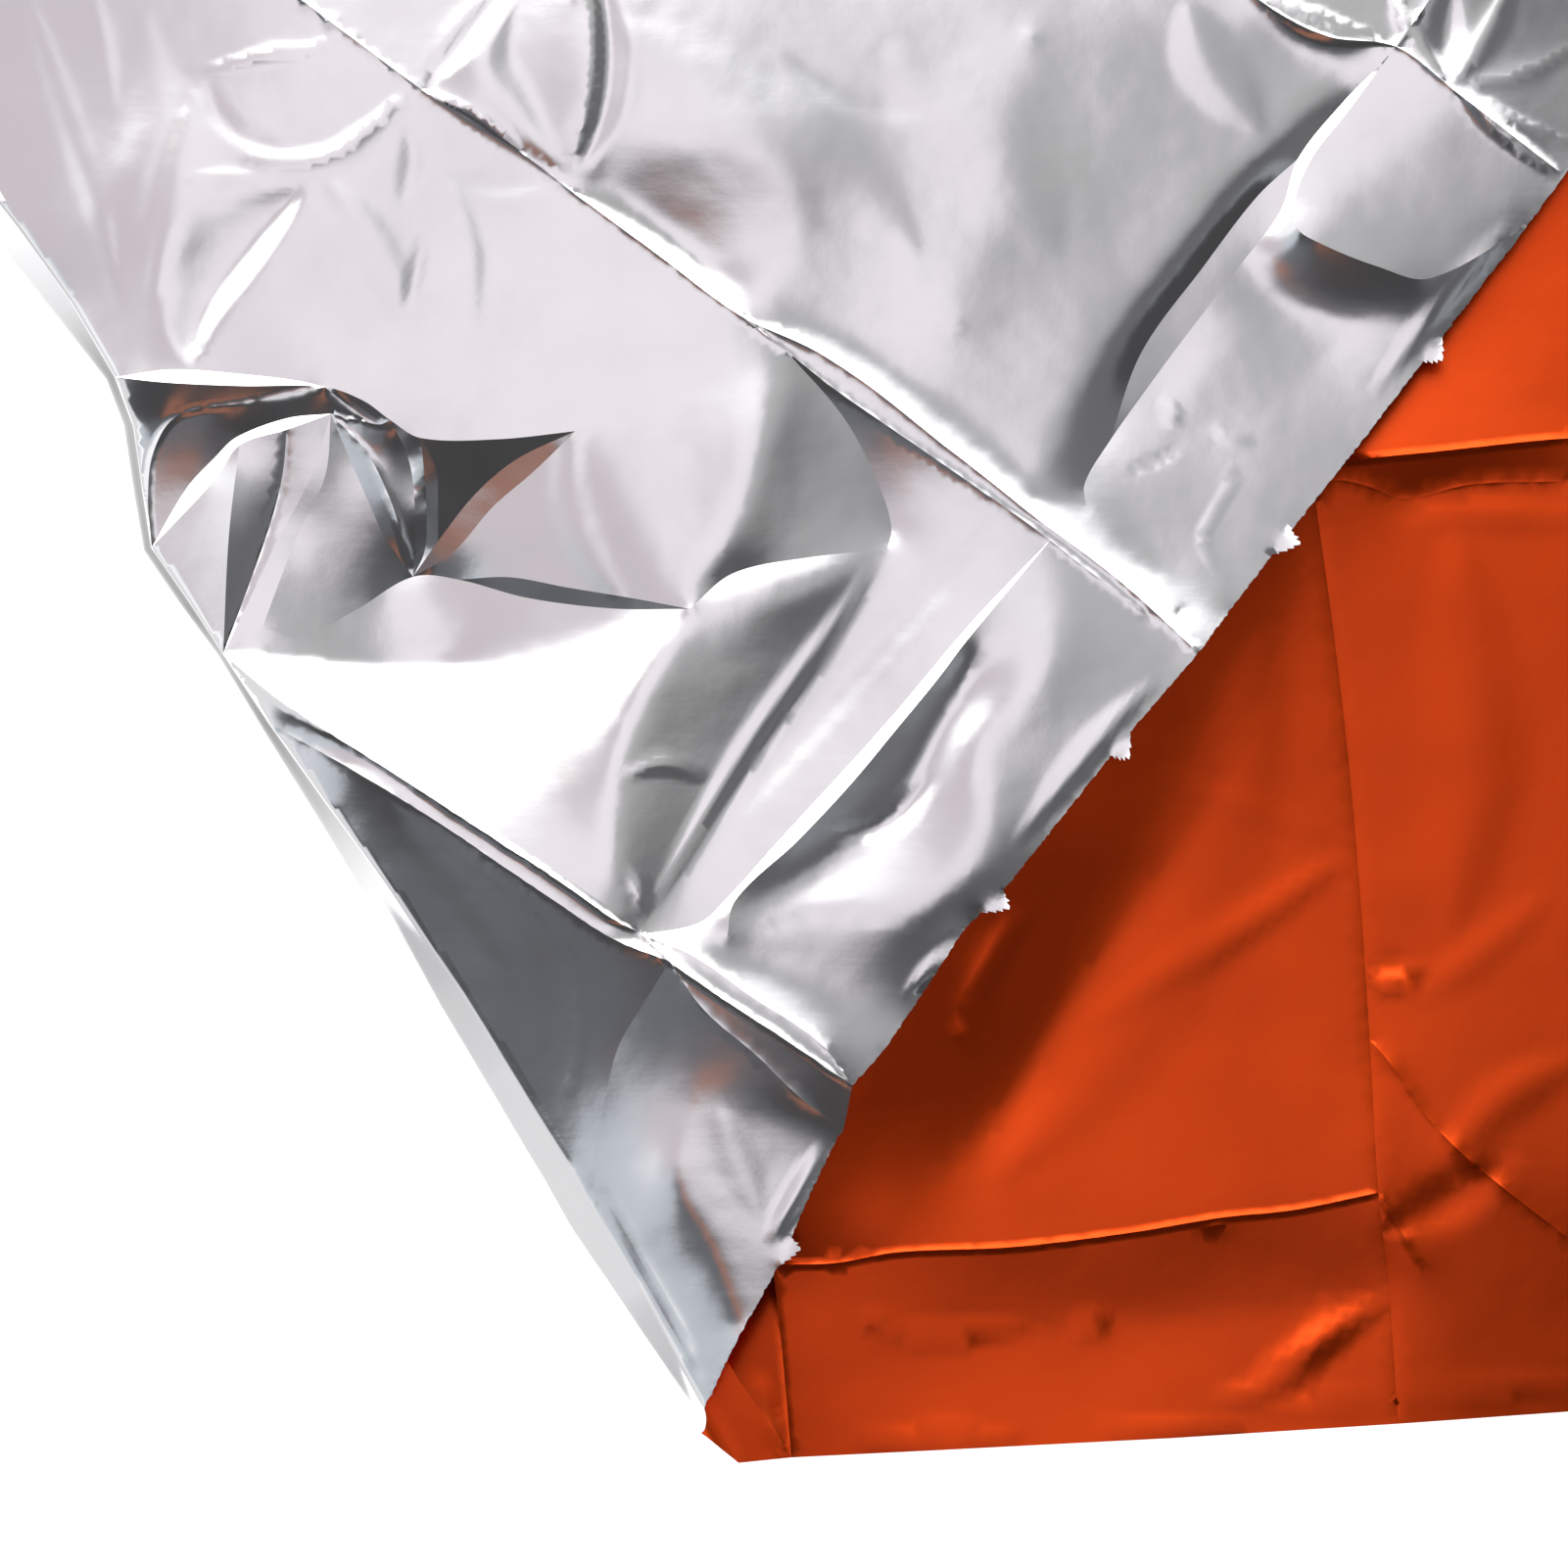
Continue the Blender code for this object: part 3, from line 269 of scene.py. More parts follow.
# Spindle-shaped ridges and troughs: how far they reach to the left and right of their path, their
# rise, whether their crest is sharp, and their path, given by how far right and away its points are.
Swell = namedtuple("Swell", "left right rise sharp path")
UPPER_SWELLS = [Swell(*row) for row in (
    # crumples and streaks in the upper left
    (3, 3, 0.22, 1, "-102 124.6, -96 126, -90 127.6, -84 128, -77 131"),
    (2.5, 2.5, -0.14, 0, "-101 124, -99 117.5, -95 113.5, -87 111.5"),
    (3.2, 4, 0.32, 1, "-95 109, -88 108.8, -80 109.7, -74 113.5, -66 121"),
    (2, 2.5, 0.12, 1, "-105 105.2, -98 106.5, -90 105.6"),
    (6, 8, 0.1, 0, "-112 136, -110 118, -113 104, -113 88"),
    (4, 4, 0.16, 0, "-134 142, -128 125, -121 104, -116 82"),
    (3, 3, 0.1, 0, "-122 142, -119 128, -117 112"),
    # shades under the first long crease
    (2, 2, -0.12, 0, "-62.5 97, -64.5 89, -67 80"), (3, 3, -0.12, 0, "-66 116, -65 109, -67 101"),
    (2.5, 2.5, -0.1, 0, "-59 106.5, -50 104.5, -41 105.5"),
    # the top ridge, with a lens and wedges beside it
    (2.6, 1, 0.35, 1, "-63 121.2, -54 116.5, -45.5 110.2"),
    (7, 10, 0.45, 0, "-47 140, -53 127, -47 116, -39 108"), (3, 3, -0.35, 0, "-46 142, -55 131, -62.5 122"),
    (5, 2.5, -0.5, 0, "-33 144, -31 130, -32 118, -36 107"),
    # the far panel
    (12, 12, 0.2, 0, "-30 134, -8 119, 10 107, 24 92"), (14, 14, 0.16, 0, "18 130, 34 112, 48 92"),
    (6, 6, -0.12, 0, "0 128, 12 121, 26 117"), (8, 7, 0.3, 0, "70 137, 74 126, 84 114"),
    # wedges and folds in the upper right corner
    (4.5, 2.5, 0.4, 1, "118 120.5, 126 113.5, 135 106.5"), (2, 2, 0.12, 1, "118 121.2, 128 116, 139 111.5"),
    (4, 4, 0.3, 1, "128 141, 123 131, 117.5 122.5"), (3, 3, 0.35, 1, "107 140, 109 133, 116 123"),
    (3, 5, 0.1, 1, "140 130, 130 124.5, 119 122"), (4, 4, -0.4, 0, "117 140, 116 131, 116.5 124"),
    # the end of the third long crease
    (1.6, 1.6, 0.22, 1, "83 137.5, 94 134, 105.5 129.6"),
    # the strip beside the far cross crease
    (1.4, 1.2, 0.1, 1, "66 67, 68 65.5, 68.5 62"), (1.2, 1.2, 0.08, 1, "75.5 62.5, 77.5 60.5, 82 60"),
    (1.4, 1.4, -0.07, 1, "60 54.5, 65 56.5, 70 59"), (1.2, 1.2, 0.06, 1, "79 57, 77.5 51, 73.5 43, 78 35"),
    (9, 12, 0.12, 0, "66 62, 78 75, 98 80"),
    # curls along the free edge
    (2, 3.5, 0.2, 0, "128 99, 117 86, 103 68"), (2.4, 4, 0.25, 0, "66 19, 59 12, 49 0, 40 -11"),
    (2, 3.5, 0.4, 0, "34 -25, 28 -31, 21 -37.5"), (2, 3, 0.35, 0, "7 -63, 3 -71, -3 -81"),
    # the cone, and the blade-shaped facet next to it
    (5.5, 5.5, 0.22, 0, "-36.6 64, -38 52, -34 40, -27 31"), (3, 3, 0.3, 0, "17 40, 6 24, -8 4, -24 -24"),
    (1.8, 1.8, -0.06, 0, "9 26, -6 3, -14 -9, -24 -25"), (2.2, 2.2, 0.26, 0, "-28 1.5, -21 3.5, -13 1"),
    (2, 2, 0.25, 0, "-27 -15, -25 -18, -24.8 -23"), (5, 5, -0.14, 0, "38 47, 22 30, 6 12, -8 -6"),
    # the left panel's streak and shades
    (14, 4, -0.78, 0, "-104 74, -100.5 84, -93.5 93.5, -84 104"),
    (4, 7, 0.12, 0, "-80 106, -71 95, -65 80"), (3, 6, 0.09, 0, "-58 106, -55 94, -54 80"),
    (4, 9, 0.16, 0, "-111 84, -107 104, -103 122"),
    # the hem part and the panel beyond it
    (1.3, 1.3, -0.4, 0, "-33 -68.5, -24.5 -84, -18.5 -95, -14 -106"), (3, 3, -0.3, 0, "8 -9, 18 -7, 27 2"),
    (1.8, 1.8, -0.08, 0, "-6 -26.5, 2 -23.5, 9 -22.5, 18 -23.5, 28 -26"),
    (5, 5, 0.1, 0, "-12 -56, -9 -64, -4 -76"), (7, 7, 0.09, 0, "-72 -2, -58 -14, -47 -28, -42 -48"),
    (1.2, 1.2, 0.05, 1, "-70 -2, -58 -11, -44 -21, -37 -31, -36 -46, -39 -58"))]
LOWER_SWELLS = [Swell(*row) for row in (
    # puckers
    (2.2, 2, 0.45, 1, "103 -34, 107 -34.8, 111.5 -33.8"), (1.6, 1.6, -0.2, 0, "103 -31, 107 -32, 111 -31"),
    (1, 1, 0.22, 1, "30.5 -42, 32 -43.6, 34 -43.8"),
    # slack ridges
    (3, 5, 0.35, 1, "42 -22, 36 -32, 32 -43"), (5, 5, 0.14, 0, "50 -45, 75 -28, 100 -12"),
    # ripples along the hem
    (2, 2, 0.3, 0, "10 -93, 20 -95.6, 32 -96.4, 46 -95"), (2.2, 2.2, 0.3, 0, "48 -97.5, 54 -95.6, 58 -94"),
    (4, 3, 0.55, 0, "82 -105, 93 -99, 106 -90"), (2.6, 2.6, 0.35, 0, "74 -109, 88 -105, 98 -97"),
    (2, 2, 0.3, 0, "90 -101, 95 -96, 97 -91"),
    # lines close to the hem's edge
    (1, 1, 0.18, 1, "12 -116, 24 -114.5, 42 -115"), (1, 1, 0.15, 1, "54 -113.5, 68 -113, 82 -114"),
    (1, 1, 0.16, 1, "80 -109.6, 96 -108.8, 108 -108.5"), (1, 1, 0.14, 1, "109 -107, 124 -106.5, 141 -105"),
    # the left corner, and the pocket beside the crossing creases
    (1.6, 1.6, 0.35, 1, "-4.5 -104, -2 -112, 0.8 -118"), (6, 6, -0.45, 0, "105 -79, 115 -74, 128 -66"),
    # low swells of the panels
    (6, 6, 0.25, 0, "141 -48, 127 -55, 116 -66"), (5, 5, 0.15, 0, "108 -40, 122 -30, 136 -18"),
    (12, 12, 0.25, 0, "118 46, 121 10, 117 -28"), (14, 14, 0.3, 0, "86 30, 76 -10, 58 -44, 36 -72"),
    (3, 3, 0.1, 0, "100 -11, 84 -5, 66 2"), (4, 4, 0.12, 0, "100 -12, 86 -22, 70 -34"),
    (4, 4, 0.18, 0, "110 47, 124 47.5, 141 46"), (0.9, 0.9, 0.16, 1, "73 -78.2, 76 -77.4, 79 -77.6"))]

UPPER_RIM = [f"edge {i}" for i in range(1, 20)]
UPPER_RIM += ["corner", "side 1", "side 2", "far corner", "end 1", "end 2"]
LOWER_RIM = ["hem 1", "hem 2", "hem 3", "hem 4", "hem corner", "side 1", "side 2", "far corner"]

# Torn bits that the perforation left on the free edge: place along it, length, and lean.
Tear = namedtuple("Tear", "x y length lean")
TEARS = [Tear(*row) for row in (
    (113.2, 76.2, 2.6, -0.3), (87, 42.3, 2.8, 0.5), (59, 7, 2.8, -0.6), (36.5, -20.5, 3, 0.3),
    (0.2, -82, 2.4, 0.4))]
# The outline of a torn bit: along the edge, and outward.
TORN_BIT = ((-2.6, 0), (-2.2, 0.8), (-1.9, 0.5), (-1.4, 1.6), (-1, 1.3), (-0.6, 2.2), (-0.2, 1.8),
            (0.3, 2.6), (0.9, 2.3), (1.2, 1.5), (1.7, 1.7), (1.9, 0.8), (2.3, 0.6), (2.6, 0))
BIT_HALF, BIT_LIFT = 2.6, 0.12    # half length of a torn bit, and how much it rises as it goes out
NICK_DEPTH, NICK = 0.30, 1.7      # depth of the nicks between them, and how quickly they change


# ---------------- settings

def amount(name, description, default, **more):
    return bpy.props.FloatProperty(name=name, description=description, default=default, **more)


def face_colour(name, description, default):
    return bpy.props.FloatVectorProperty(
        name=name, description=description, default=default, subtype="COLOR", min=0.0, max=1.0)


class FoilSettings(bpy.types.PropertyGroup):
    film: amount("Film", "Thickness of the film", 0.0001, unit="LENGTH")
    flap_pitch: amount("Flap pitch", "Spacing of points in the turned-over layer, in millimetres", 1.22)
    ground_pitch: amount("Ground pitch", "Spacing of points in the layer below, in millimetres", 2.2)
    coarse_pitch: amount("Coarse pitch", "Spacing of points out of view, in millimetres", 5.0)
    silver: face_colour("Silver face", "Colour of the metallised face", (0.95, 0.945, 0.95))
    orange: face_colour("Orange face", "Colour of the lacquered face", (0.70, 0.061, 0.004))
    gloss: amount("Silver roughness", "Roughness of the metallised face", 0.10, min=0.0, max=1.0)
    satin: amount("Orange roughness", "Roughness of the lacquered face", 0.24, min=0.0, max=1.0)


class StudioSettings(bpy.types.PropertyGroup):
    view_width: amount("View width", "Width of the surface that the camera sees", 0.276, unit="LENGTH")
    lens: amount("Lens", "Focal length of the camera", 300.0, unit="CAMERA")
    floor: amount("Floor", "Side of the floor", 6.0, unit="LENGTH")


# ---------------- shaders

def maths(operation):
    """A method that does the operation on a shader socket and what it is given."""
    def method(self, other):
        return self.tree.node("ShaderNodeMath", dict(operation=operation), (self, other), "Value")
    return method


class Value:
    """A shader socket that can be used in Python expressions."""

    __add__, __sub__, __mul__ = maths("ADD"), maths("SUBTRACT"), maths("MULTIPLY")
    __truediv__, __pow__ = maths("DIVIDE"), maths("POWER")
    larger, smaller = maths("MAXIMUM"), maths("MINIMUM")

    def __init__(self, tree, socket):
        self.tree, self.socket = tree, socket

    def __neg__(self):
        return self * -1.0

    def __rsub__(self, other):
        return self.tree.node("ShaderNodeMath", dict(operation="SUBTRACT"), (other, self), "Value")

    def smooth(self, low, high):
        """0 below low, 1 above high, and a soft step between them."""
        return self.tree.node(
            "ShaderNodeMapRange",
            dict(interpolation_type="SMOOTHSTEP", clamp=True),
            {"Value": self, "From Min": low, "From Max": high, "To Min": 0.0, "To Max": 1.0},
            "Result")

    def band(self, low, start, end, high):
        """0 outside low and high, and 1 from start to end."""
        return self.smooth(low, start) * (1.0 - self.smooth(end, high))


class Tree:
    """A node tree with one way of adding nodes."""

    def __init__(self, nodes_of):
        self.nodes, self.links = nodes_of.nodes, nodes_of.links
        self.nodes.clear()

    def node(self, kind, settings=None, inputs=None, output=None):
        """Adds a node; settings come first, then input values or links; gives the named output."""
        made = self.nodes.new(kind)
        for name, value in (settings or {}).items():
            setattr(made, name, value)
        pairs = inputs.items() if isinstance(inputs, dict) else enumerate(inputs or ())
        for key, value in pairs:
            socket = made.inputs[key]
            if isinstance(value, Value):
                self.links.new(value.socket, socket)
            else:
                socket.default_value = value
        return Value(self, made.outputs[output]) if output is not None else made

    def mix(self, share, first, second):
        """A colour between two colours."""
        return self.node("ShaderNodeMix", dict(data_type="RGBA"), {0: share, 6: first, 7: second}, 2)

    def noise(self, spot, scale, detail, roughness=0.5):
        inputs = {"Vector": spot, "Scale": scale, "Detail": detail, "Roughness": roughness}
        return self.node("ShaderNodeTexNoise", inputs=inputs, output="Fac")

    def bump(self, strength, height):
        inputs = {"Strength": strength, "Distance": BUMP_DEPTH, "Height": height}
        return self.node("ShaderNodeBump", inputs=inputs, output="Normal")

    def surface(self, inputs):
        """The end of a material's tree: its shader and its output."""
        shader = self.node("ShaderNodeBsdfPrincipled", inputs=inputs, output="BSDF")
        self.node("ShaderNodeOutputMaterial", inputs={"Surface": shader})


def colour(red, green, blue):
    return (red, green, blue, 1.0)


# ---------------- lines

def in_view(point):
    return abs(point[0]) < VIEW_HALF and abs(point[1]) < VIEW_HALF


def place(point):
    """A point's place in plan, as a key."""
    return round(point[0], 3), round(point[1], 3)


def steps_between(start, end, pitch, coarse):
    """How many even steps lead from start to end, longer out of view."""
    step = pitch if in_view((start + end) / 2) else coarse
    return max(1, math.ceil((end - start).length / step))


def walk(corners, pitch, coarse):
    """The corners with even steps put in between them."""
    points = []
    for start, end in zip(corners, corners[1:]):
        steps = steps_between(start, end, pitch, coarse)
        points += [start.lerp(end, i / steps) for i in range(steps)]
    return points + [corners[-1]]


def curve(corners, pitch, coarse, sideways=0.0):
    """A smooth line through the corners; in between them it crinkles to the side."""
    ends = [corners[0]] + corners + [corners[-1]]
    ways = [(after - before).normalized() for before, after in zip(ends, ends[2:])]
    points = []
    for start, end, way_out, way_in in zip(corners, corners[1:], ways, ways[1:]):
        reach = (end - start).length / 3
        bend = geometry.interpolate_bezier(
            start, start + way_out * reach, end - way_in * reach, end,
            steps_between(start, end, pitch, coarse) + 1)
        side = across_of(start, end)
        points.append(start)
        points += [point + side * (sideways * noise.noise(point * CRINKLE)) for point in bend[1:-1]]
    return points + [corners[-1]]


def across_of(start, end):
    """The way across a line from start to end, to its left."""
    return Vector((start.y - end.y, end.x - start.x, 0.0)).normalized()


def spread(line, count):
    """Evenly spaced points along a line, its ends included."""
    reach = [0.0]
    for start, end in zip(line, line[1:]):
        reach.append(reach[-1] + (end - start).length)
    stops = np.linspace(0.0, reach[-1], count + 1)
    return [Vector(spot) for spot in zip(*(np.interp(stops, reach, part) for part in zip(*line)))]


def corners_of(path, points):
    """The corners of a path, each given by its name or by how far right, away and up it is."""
    stops = path.split(", ")
    return [points[stop] if stop in points else Vector([float(part) for part in stop.split()]).to_3d()
            for stop in stops]


def fold_lines(points, folds, fine, coarse):
    """The curve of each fold, by name."""
    return {name: curve(corners_of(path, points), fine, coarse, PRESSED.get(name, (0, 0))[1])
            for name, path in folds.items()}


def ridge_line(swell):
    return curve(corners_of(swell.path, {}), RIDGE_STEP, RIDGE_STEP)


def inside(spots, outline):
    """For each spot, whether it lies inside the outline."""
    x, y = spots[:, 0], spots[:, 1]
    odd = np.zeros(len(spots), bool)
    for (x1, y1, _), (x2, y2, _) in zip(outline, outline[1:]):
        if y1 != y2:
            odd ^= ((y1 > y) != (y2 > y)) & (x < x1 + (y - y1) * (x2 - x1) / (y2 - y1))
    return odd


# ---------------- folded layers

def tree_of(points):
    """A search tree of the points' places in plan."""
    tree = kdtree.KDTree(len(points))
    for i, point in enumerate(points):
        tree.insert((point[0], point[1], 0.0), i)
    tree.balance()
    return tree


def pressed_in(folds):
    return [name for name in PRESSED if name in folds]


def welt_sides(outline, folds):
    """Points on both sides of every pressed crease, where its thin welt ends."""
    from_folds, from_rim, apart = (WELT * clear for clear in WELT_CLEAR)
    lines = [outline, *folds.values()]
    near, rim = tree_of([point for line in lines for point in line]), tree_of(outline)
    sides = []
    for name in pressed_in(folds):
        others = tree_of([point for line in lines if line is not folds[name] for point in line])
        beside = WELT_LINES if PRESSED[name][0] > HIGH_WELT else WELT_LINES[:2]
        for start, end in zip(folds[name], folds[name][1:]):
            middle = (start + end) / 2
            if not in_view(middle):
                continue
            across = across_of(start, end) * WELT
            for reach, clear in beside:
                spot = middle + across * reach
                if (near.find(spot)[2] > from_folds and others.find(spot)[2] > WELT * clear
                        and rim.find(spot)[2] > from_rim):
                    sides.append(spot)
    close = tree_of(sides)
    sides = [spot for i, spot in enumerate(sides)
             if all(other >= i for _, other, _ in close.find_range((spot.x, spot.y, 0.0), apart))]
    shown = inside(np.array([(spot.x, spot.y) for spot in sides]), outline)
    return [spot.to_2d() for spot, held in zip(sides, shown) if held]


def filling(outline, lines, sides, fine, coarse, covered):
    """Points in staggered rows inside the outline, closer together in sight, clear of every line."""
    near = tree_of([point for line in lines for point in line] + sides)
    points = []
    for pitch, wanted in ((fine, True), (coarse, False)):
        xs = np.arange(*FIELD[0], pitch)
        rows = np.arange(*FIELD[1], pitch * math.sqrt(3) / 2)
        grid = np.array([(x + (r % 2) * pitch / 2, y) for r, y in enumerate(rows) for x in xs])
        seen = (np.abs(grid) < VIEW_HALF).all(axis=1) & (grid @ FLAP_LINE > covered)
        grid = grid[seen == wanted]
        grid = grid[inside(grid, outline)]
        points += [Vector(spot) for spot in grid if near.find((*spot, 0.0))[2] > pitch * CLEARANCE]
    return points


def triangulated(lines, extra):
    """Points in plan, the triangles that keep every line as edges, and which given point each is."""
    plan, edges, index = [], [], {}
    for line in lines:
        for point in line:
            if place(point) not in index:
                index[place(point)] = len(plan)
                plan.append(point.to_2d())
        keys = [index[place(point)] for point in line]
        edges += [pair for pair in zip(keys, keys[1:]) if pair[0] != pair[1]]
    points, _, faces, origins, *_ = geometry.delaunay_2d_cdt(plan + extra, edges, [], 1, SAME_PLACE)
    return points, faces, origins


def height_over(lines):
    """A function of the height at a place in plan, straight between the lines."""
    corners = [point for line in lines for point in line]
    near = tree_of(corners)
    points, faces, _ = triangulated(lines, [])
    raised = [Vector((p.x, p.y, corners[near.find((p.x, p.y, 0.0))[1]].z)) for p in points]
    tree = BVHTree.FromPolygons(raised, faces)

    def height(spot):
        hit = tree.ray_cast(Vector((spot.x, spot.y, SKY)), Vector((0.0, 0.0, -1.0)))[0]
        return hit.z if hit else tree.find_nearest(Vector((spot.x, spot.y, HALFWAY_UP)))[0].z

    return height


def stretched(points, faces, heights, free, eased):
    """The heights once the film is stretched like a skin between its held points, and its soft
    folds are then rounded."""
    plan = np.array([point.to_tuple() for point in points])
    corners = np.array(faces)
    ends, pulls = [], []
    for turn in range(3):
        first, second, third = (corners[:, (turn + n) % 3] for n in range(3))
        u, v = plan[first] - plan[third], plan[second] - plan[third]
        cross = np.abs(u[:, 0] * v[:, 1] - u[:, 1] * v[:, 0]) + TINY
        ends.append((first, second))
        pulls.append((u * v).sum(axis=1) / cross)
    ends = np.sort(np.concatenate(ends, axis=1), axis=0)
    (first, second), which = np.unique(ends, axis=1, return_inverse=True)
    pull = np.clip(np.bincount(which.ravel(), np.concatenate(pulls)), *PULL_RANGE)
    count = len(points)
    stiffness = np.bincount(first, pull, count) + np.bincount(second, pull, count)

    def force(shape):
        flow = pull * (shape[first] - shape[second])
        return np.bincount(first, flow, count) - np.bincount(second, flow, count)

    left = -force(heights) * free
    step, size = left.copy(), left @ left
    for _ in range(STRETCHING):
        bent = force(step) * free
        share = size / (step @ bent)
        heights = heights + share * step
        left = left - share * bent
        before, size = size, left @ left
        if size < AT_REST:
            break
        step = left + (size / before) * step
    for _ in range(EASING):
        heights = heights - EASE_SHARE * eased * force(heights) / np.maximum(stiffness, LEAST_STIFF)
    return heights


def sharpen(mesh, spot, folds):
    """Marks the edges along every fold but the soft ones as sharp."""
    for name, line in folds.items():
        if name in SOFT_FOLDS:
            continue
        for start, end in zip(line, line[1:]):
            if place(start) in spot and place(end) in spot:
                edge = mesh.edges.get((spot[place(start)], spot[place(end)]))
                if edge:
                    edge.smooth = False


def press(spot, folds):
    """Raises the thin welt along every pressed crease, unevenly."""
    risen = set()
    for name in pressed_in(folds):
        for point in folds[name][1:-1]:
            key = place(point)
            if key in spot and key not in risen and in_view(point):
                risen.add(key)
                spot[key].co.z += PRESSED[name][0] * (STEADY + UNSTEADY * noise.noise(point * UNEVEN))


def swell_up(spot, swells, still):
    """Adds the spindle-shaped ridges and troughs, and a slight waviness, to all but the still points."""
    still = {place(point) for point in still}
    verts = [vert for key, vert in spot.items() if key not in still and in_view(vert.co)]
    x, y = np.array([vert.co.xy for vert in verts]).T
    rise = np.zeros(len(verts))
    for swell in swells:
        line = ridge_line(swell)
        away, share = np.full(len(verts), FAR_OFF), np.zeros(len(verts))
        for i, (start, end) in enumerate(zip(line, line[1:])):
            dx, dy = end.x - start.x, end.y - start.y
            px, py = x - start.x, y - start.y
            t = np.clip((px * dx + py * dy) / (dx * dx + dy * dy), 0.0, 1.0)
            gap = np.hypot(px - t * dx, py - t * dy)
            closer = gap < np.abs(away)
            away[closer] = np.copysign(gap, dx * py - dy * px)[closer]
            share[closer] = (i + t[closer]) / (len(line) - 1)
        body = np.sin(math.pi * share) ** SPINDLE + END_WIDTH
        reach = np.where(away > 0, swell.left, swell.right) * body
        across = np.clip(np.abs(away) / reach, 0.0, 1.0)
        bell = (1.0 - across) ** 2 if swell.sharp else 0.5 + 0.5 * np.cos(math.pi * across)
        rise += swell.rise * body * bell
    (high, long), (low, short) = WAVES
    for vert, step in zip(verts, rise):
        wave = high * noise.noise(vert.co / long) + low * noise.noise(vert.co / short)
        vert.co.z += step + wave


def add_layer(mesh, outline, folds, swells, still, fine, coarse, covered=-math.inf):
    """Adds one layer of the sheet: held along its folds, stretched between them, and then swollen."""
    lines = [outline, *folds.values()]
    known = {place(point): point.z for line in lines for point in line}
    height = height_over(lines)
    sides = welt_sides(outline, folds)
    guides = [ridge_line(swell) for swell in swells if swell.sharp]
    held_by = lines + [[point for point in line if place(point) not in known] for line in guides]
    points, faces, origins = triangulated(
        held_by, sides + filling(outline, held_by, sides, fine, coarse, covered))
    keys = [place(point) for point in points]
    heights = np.array([known[key] if key in known else height(point)
                        for key, point in zip(keys, points)])
    free = np.array([float(key not in known and bool(origin)) for key, origin in zip(keys, origins)])
    soft = {place(p) for name, line in folds.items() if name in SOFT_FOLDS for p in line[1:-1]}
    soft -= {place(p) for name, line in folds.items() if name not in SOFT_FOLDS for p in line}
    eased = np.maximum(free, [float(key in soft) for key in keys])
    heights = stretched(points, faces, heights, free, eased)
    corners = [mesh.verts.new((point.x, point.y, z)) for point, z in zip(points, heights)]
    for face in faces:
        mesh.faces.new([corners[i] for i in face])
    spot = dict(zip(keys, corners))
    sharpen(mesh, spot, folds)
    press(spot, folds)
    swell_up(spot, swells, still)


# ---------------- the sheet

def roll_lines(pitch, coarse):
    """The top, outer and under lines of the roll, stepped alike, so that their points pair up."""
    tops = [Vector((row.top_x, row.top_y, row.height)) for row in ROLL]
    outers = [Vector((row.outer_x, row.outer_y, 0.0)) for row in ROLL]
    unders = [Vector((*UNDER_HEM, 0.0))] + [Vector((row.top_x, row.top_y, 0.0)) for row in ROLL[1:]]
    steps = [steps_between(*ends, pitch, coarse) for ends in zip(tops, tops[1:])]
    return [[start.lerp(end, n / count) for start, end, count in zip(line, line[1:], steps)
             for n in range(count)] + [line[-1]] for line in (tops, outers, unders)]


def add_roll(mesh, tops, outers, unders):
    """Extrudes the turned-over layer's edge round the open roll and down to the ground, and sets how much
    painted shade each point of its steep side gets.
    """
    section = [Vector((across, high, 0.0)) for across, high in ROLL_SECTION]
    section = spread(curve(section, SECTION_STEP, SECTION_STEP), ROLL_STEPS)
    row = {place(top): i for i, top in enumerate(tops)}
    painted_flank_shade = mesh.verts.layers.float["painted_flank_shade"]
    edges = [e for e in mesh.edges if e.is_boundary and all(place(v.co) in row for v in e.verts)]
    which = {vert: row[place(vert.co)] for edge in edges for vert in edge.verts}
    for across, high, _ in section[1:]:
        where = {tuple(vert.co): i for vert, i in which.items()}
        made = bmesh.ops.extrude_edge_only(mesh, edges=edges)["geom"]
        which = {g: where[tuple(g.co)] for g in made if isinstance(g, bmesh.types.BMVert)}
        edges = [g for g in made if isinstance(g, bmesh.types.BMEdge)]
        edges = [edge for edge in edges if all(vert in which for vert in edge.verts)]
        for vert, i in which.items():
            inner = tops[i].lerp(unders[i], 1.0 - high)
            vert.co = inner + (outers[i] - inner) * across
            vert.co.z = inner.z
            steepness = tops[i].z / (outers[i] - tops[i]).to_2d().length
            # Painted shade: the share of dark base colour on the roll's steep side, growing with its
            # steepness
            vert[painted_flank_shade] = min(max((steepness - PAINTED_SHADE_FROM) / PAINTED_SHADE_RANGE, 0.0), 1.0) ** 0.5


def torn_edge(rim):
    """The free edge with its ragged perforation: small nicks, and a torn bit here and there."""
    out = [rim[0]]
    for before, point, after in zip(rim, rim[1:], rim[2:]):
        along = (after - before).to_2d().normalized()
        outward = Vector((along.y, -along.x, 0.0))
        out.append(point + outward * (NICK_DEPTH * noise.noise(point * NICK)))
    out.append(rim[-1])
    for tear in TEARS:
        spot = Vector((tear.x, tear.y))
        near = [i for i, point in enumerate(out) if (point.to_2d() - spot).length < BIT_HALF]
        first, last = near[0], near[-1]
        along = (out[last] - out[first]).to_2d().normalized()
        outward = Vector((along.y, -along.x))
        middle = (out[first] + out[last]) / 2
        bit = []
        for step, reach in TORN_BIT:
            reach *= tear.length / BIT_HALF
            shift = along * (step + tear.lean * reach) + outward * reach
            bit.append(middle + Vector((shift.x, shift.y, BIT_LIFT * reach)))
        out[first:last + 1] = bit
    return out


